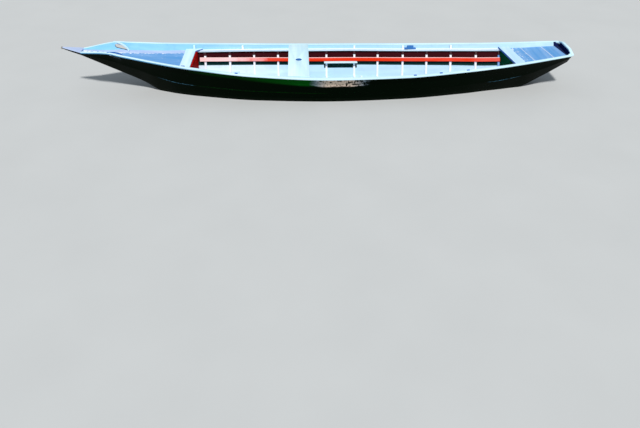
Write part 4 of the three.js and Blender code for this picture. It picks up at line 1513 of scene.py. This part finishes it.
def floor_around_hull():
    """A flat ring at the waterline: its inner edge runs in the thickness of the planking, at
    half-breadth side_y less 8 mm, and each of its points goes out along its own ray to 40 m.
    """
    x = stations(HULL_FRONT, HULL_BACK, FLOOR_STATION)
    x = x[bottom_z(x) < FLOAT_DEPTH - BOTTOM / 2]
    y = side_y(x, FLOAT_DEPTH) - FLOOR_INSET
    port, starboard = np.stack([x, -y], 1), np.stack([x, y], 1)[::-1]
    inner = np.concatenate([port, starboard]) + (SHIFT, 0)
    outer = inner / np.linalg.norm(inner, axis=1)[:, None] * FLOOR_REACH
    flat = np.concatenate([inner, outer])
    count = len(inner)
    i = np.arange(count)
    after = (i + 1) % count
    faces = np.stack([i, i + count, after + count, after], 1)
    level = np.full((len(flat), 1), FLOAT_DEPTH)
    return np.hstack([flat, level]).tolist(), [], faces.tolist()


def light_the_scene(scene):
    """One soft sun from the camera's side, and a pale blue sky."""
    sun = bpy.data.lights.new("key", "SUN")
    sun.energy = SUN_STRENGTH
    sun.angle = SUN_WIDTH
    sun.color = SUN_COLOUR
    in_scene("key", sun).rotation_euler = (SUN_LEAN, 0, 0)
    world = bpy.data.worlds.new("studio")
    world.use_nodes = True
    background = world.node_tree.nodes["Background"]
    background.inputs["Color"].default_value = SKY_COLOUR
    background.inputs["Strength"].default_value = SKY_STRENGTH
    scene.world = world
    scene.view_settings.view_transform = "Standard"


class BOAT_OT_stage(bpy.types.Operator):
    """Builds the floor, the lights and the camera"""

    bl_idname = "boat.stage"
    bl_label = "Floor, lights and camera"

    def execute(self, context):
        mesh = bpy.data.meshes.new("studio_floor")
        mesh.from_pydata(*floor_around_hull())
        mesh.materials.append(paint("card"))
        in_scene("studio_floor", mesh)
        light_the_scene(context.scene)
        lens = bpy.data.cameras.new("camera")
        lens.lens = LENS_MM
        lens.sensor_width = SENSOR_MM
        camera = in_scene("camera", lens)
        camera.location = CAMERA_PLACE
        camera.rotation_euler = (math.pi / 2 - CAMERA_DOWN, 0, -CAMERA_TURN)
        context.scene.camera = camera
        return {"FINISHED"}


OPERATORS = (
    BOAT_OT_stage,
    BOAT_OT_planking,
    BOAT_OT_bottom,
    BOAT_OT_rails,
    BOAT_OT_inwales,
    BOAT_OT_frames,
    BOAT_OT_stringers,
    BOAT_OT_foredeck,
    BOAT_OT_bow_bars,
    BOAT_OT_plugs,
    BOAT_OT_cross_planks,
    BOAT_OT_aft_deck,
    BOAT_OT_bulkhead,
    BOAT_OT_stern,
    BOAT_OT_beak,
    BOAT_OT_thwart,
    BOAT_OT_floor_boards,
    BOAT_OT_rowlocks,
    BOAT_OT_nails,
)


class BOAT_PT_sidebar(bpy.types.Panel):
    """The boat's sizes, colours and pieces"""

    bl_idname = "BOAT_PT_sidebar"
    bl_label = "Rowing boat"
    bl_space_type = "VIEW_3D"
    bl_region_type = "UI"
    bl_category = "Boat"

    def draw(self, context):
        for key in SIZES:
            self.layout.prop(context.scene.boat_sizes, key)
        for key in COLOURS:
            self.layout.prop(context.scene.boat_colours, key)
        for operator in OPERATORS:
            self.layout.operator(operator.bl_idname)


CLASSES = (BoatColours, BoatSizes, *OPERATORS, BOAT_PT_sidebar)


def register():
    for cls in CLASSES:
        bpy.utils.register_class(cls)
    bpy.types.Scene.boat_colours = bpy.props.PointerProperty(type=BoatColours)
    bpy.types.Scene.boat_sizes = bpy.props.PointerProperty(type=BoatSizes)


def unregister():
    del bpy.types.Scene.boat_sizes
    del bpy.types.Scene.boat_colours
    for cls in reversed(CLASSES):
        bpy.utils.unregister_class(cls)


def main():
    register()
    for operator in OPERATORS:
        group, name = operator.bl_idname.split(".")
        getattr(getattr(bpy.ops, group), name)()


if __name__ == "__main__":
    main()
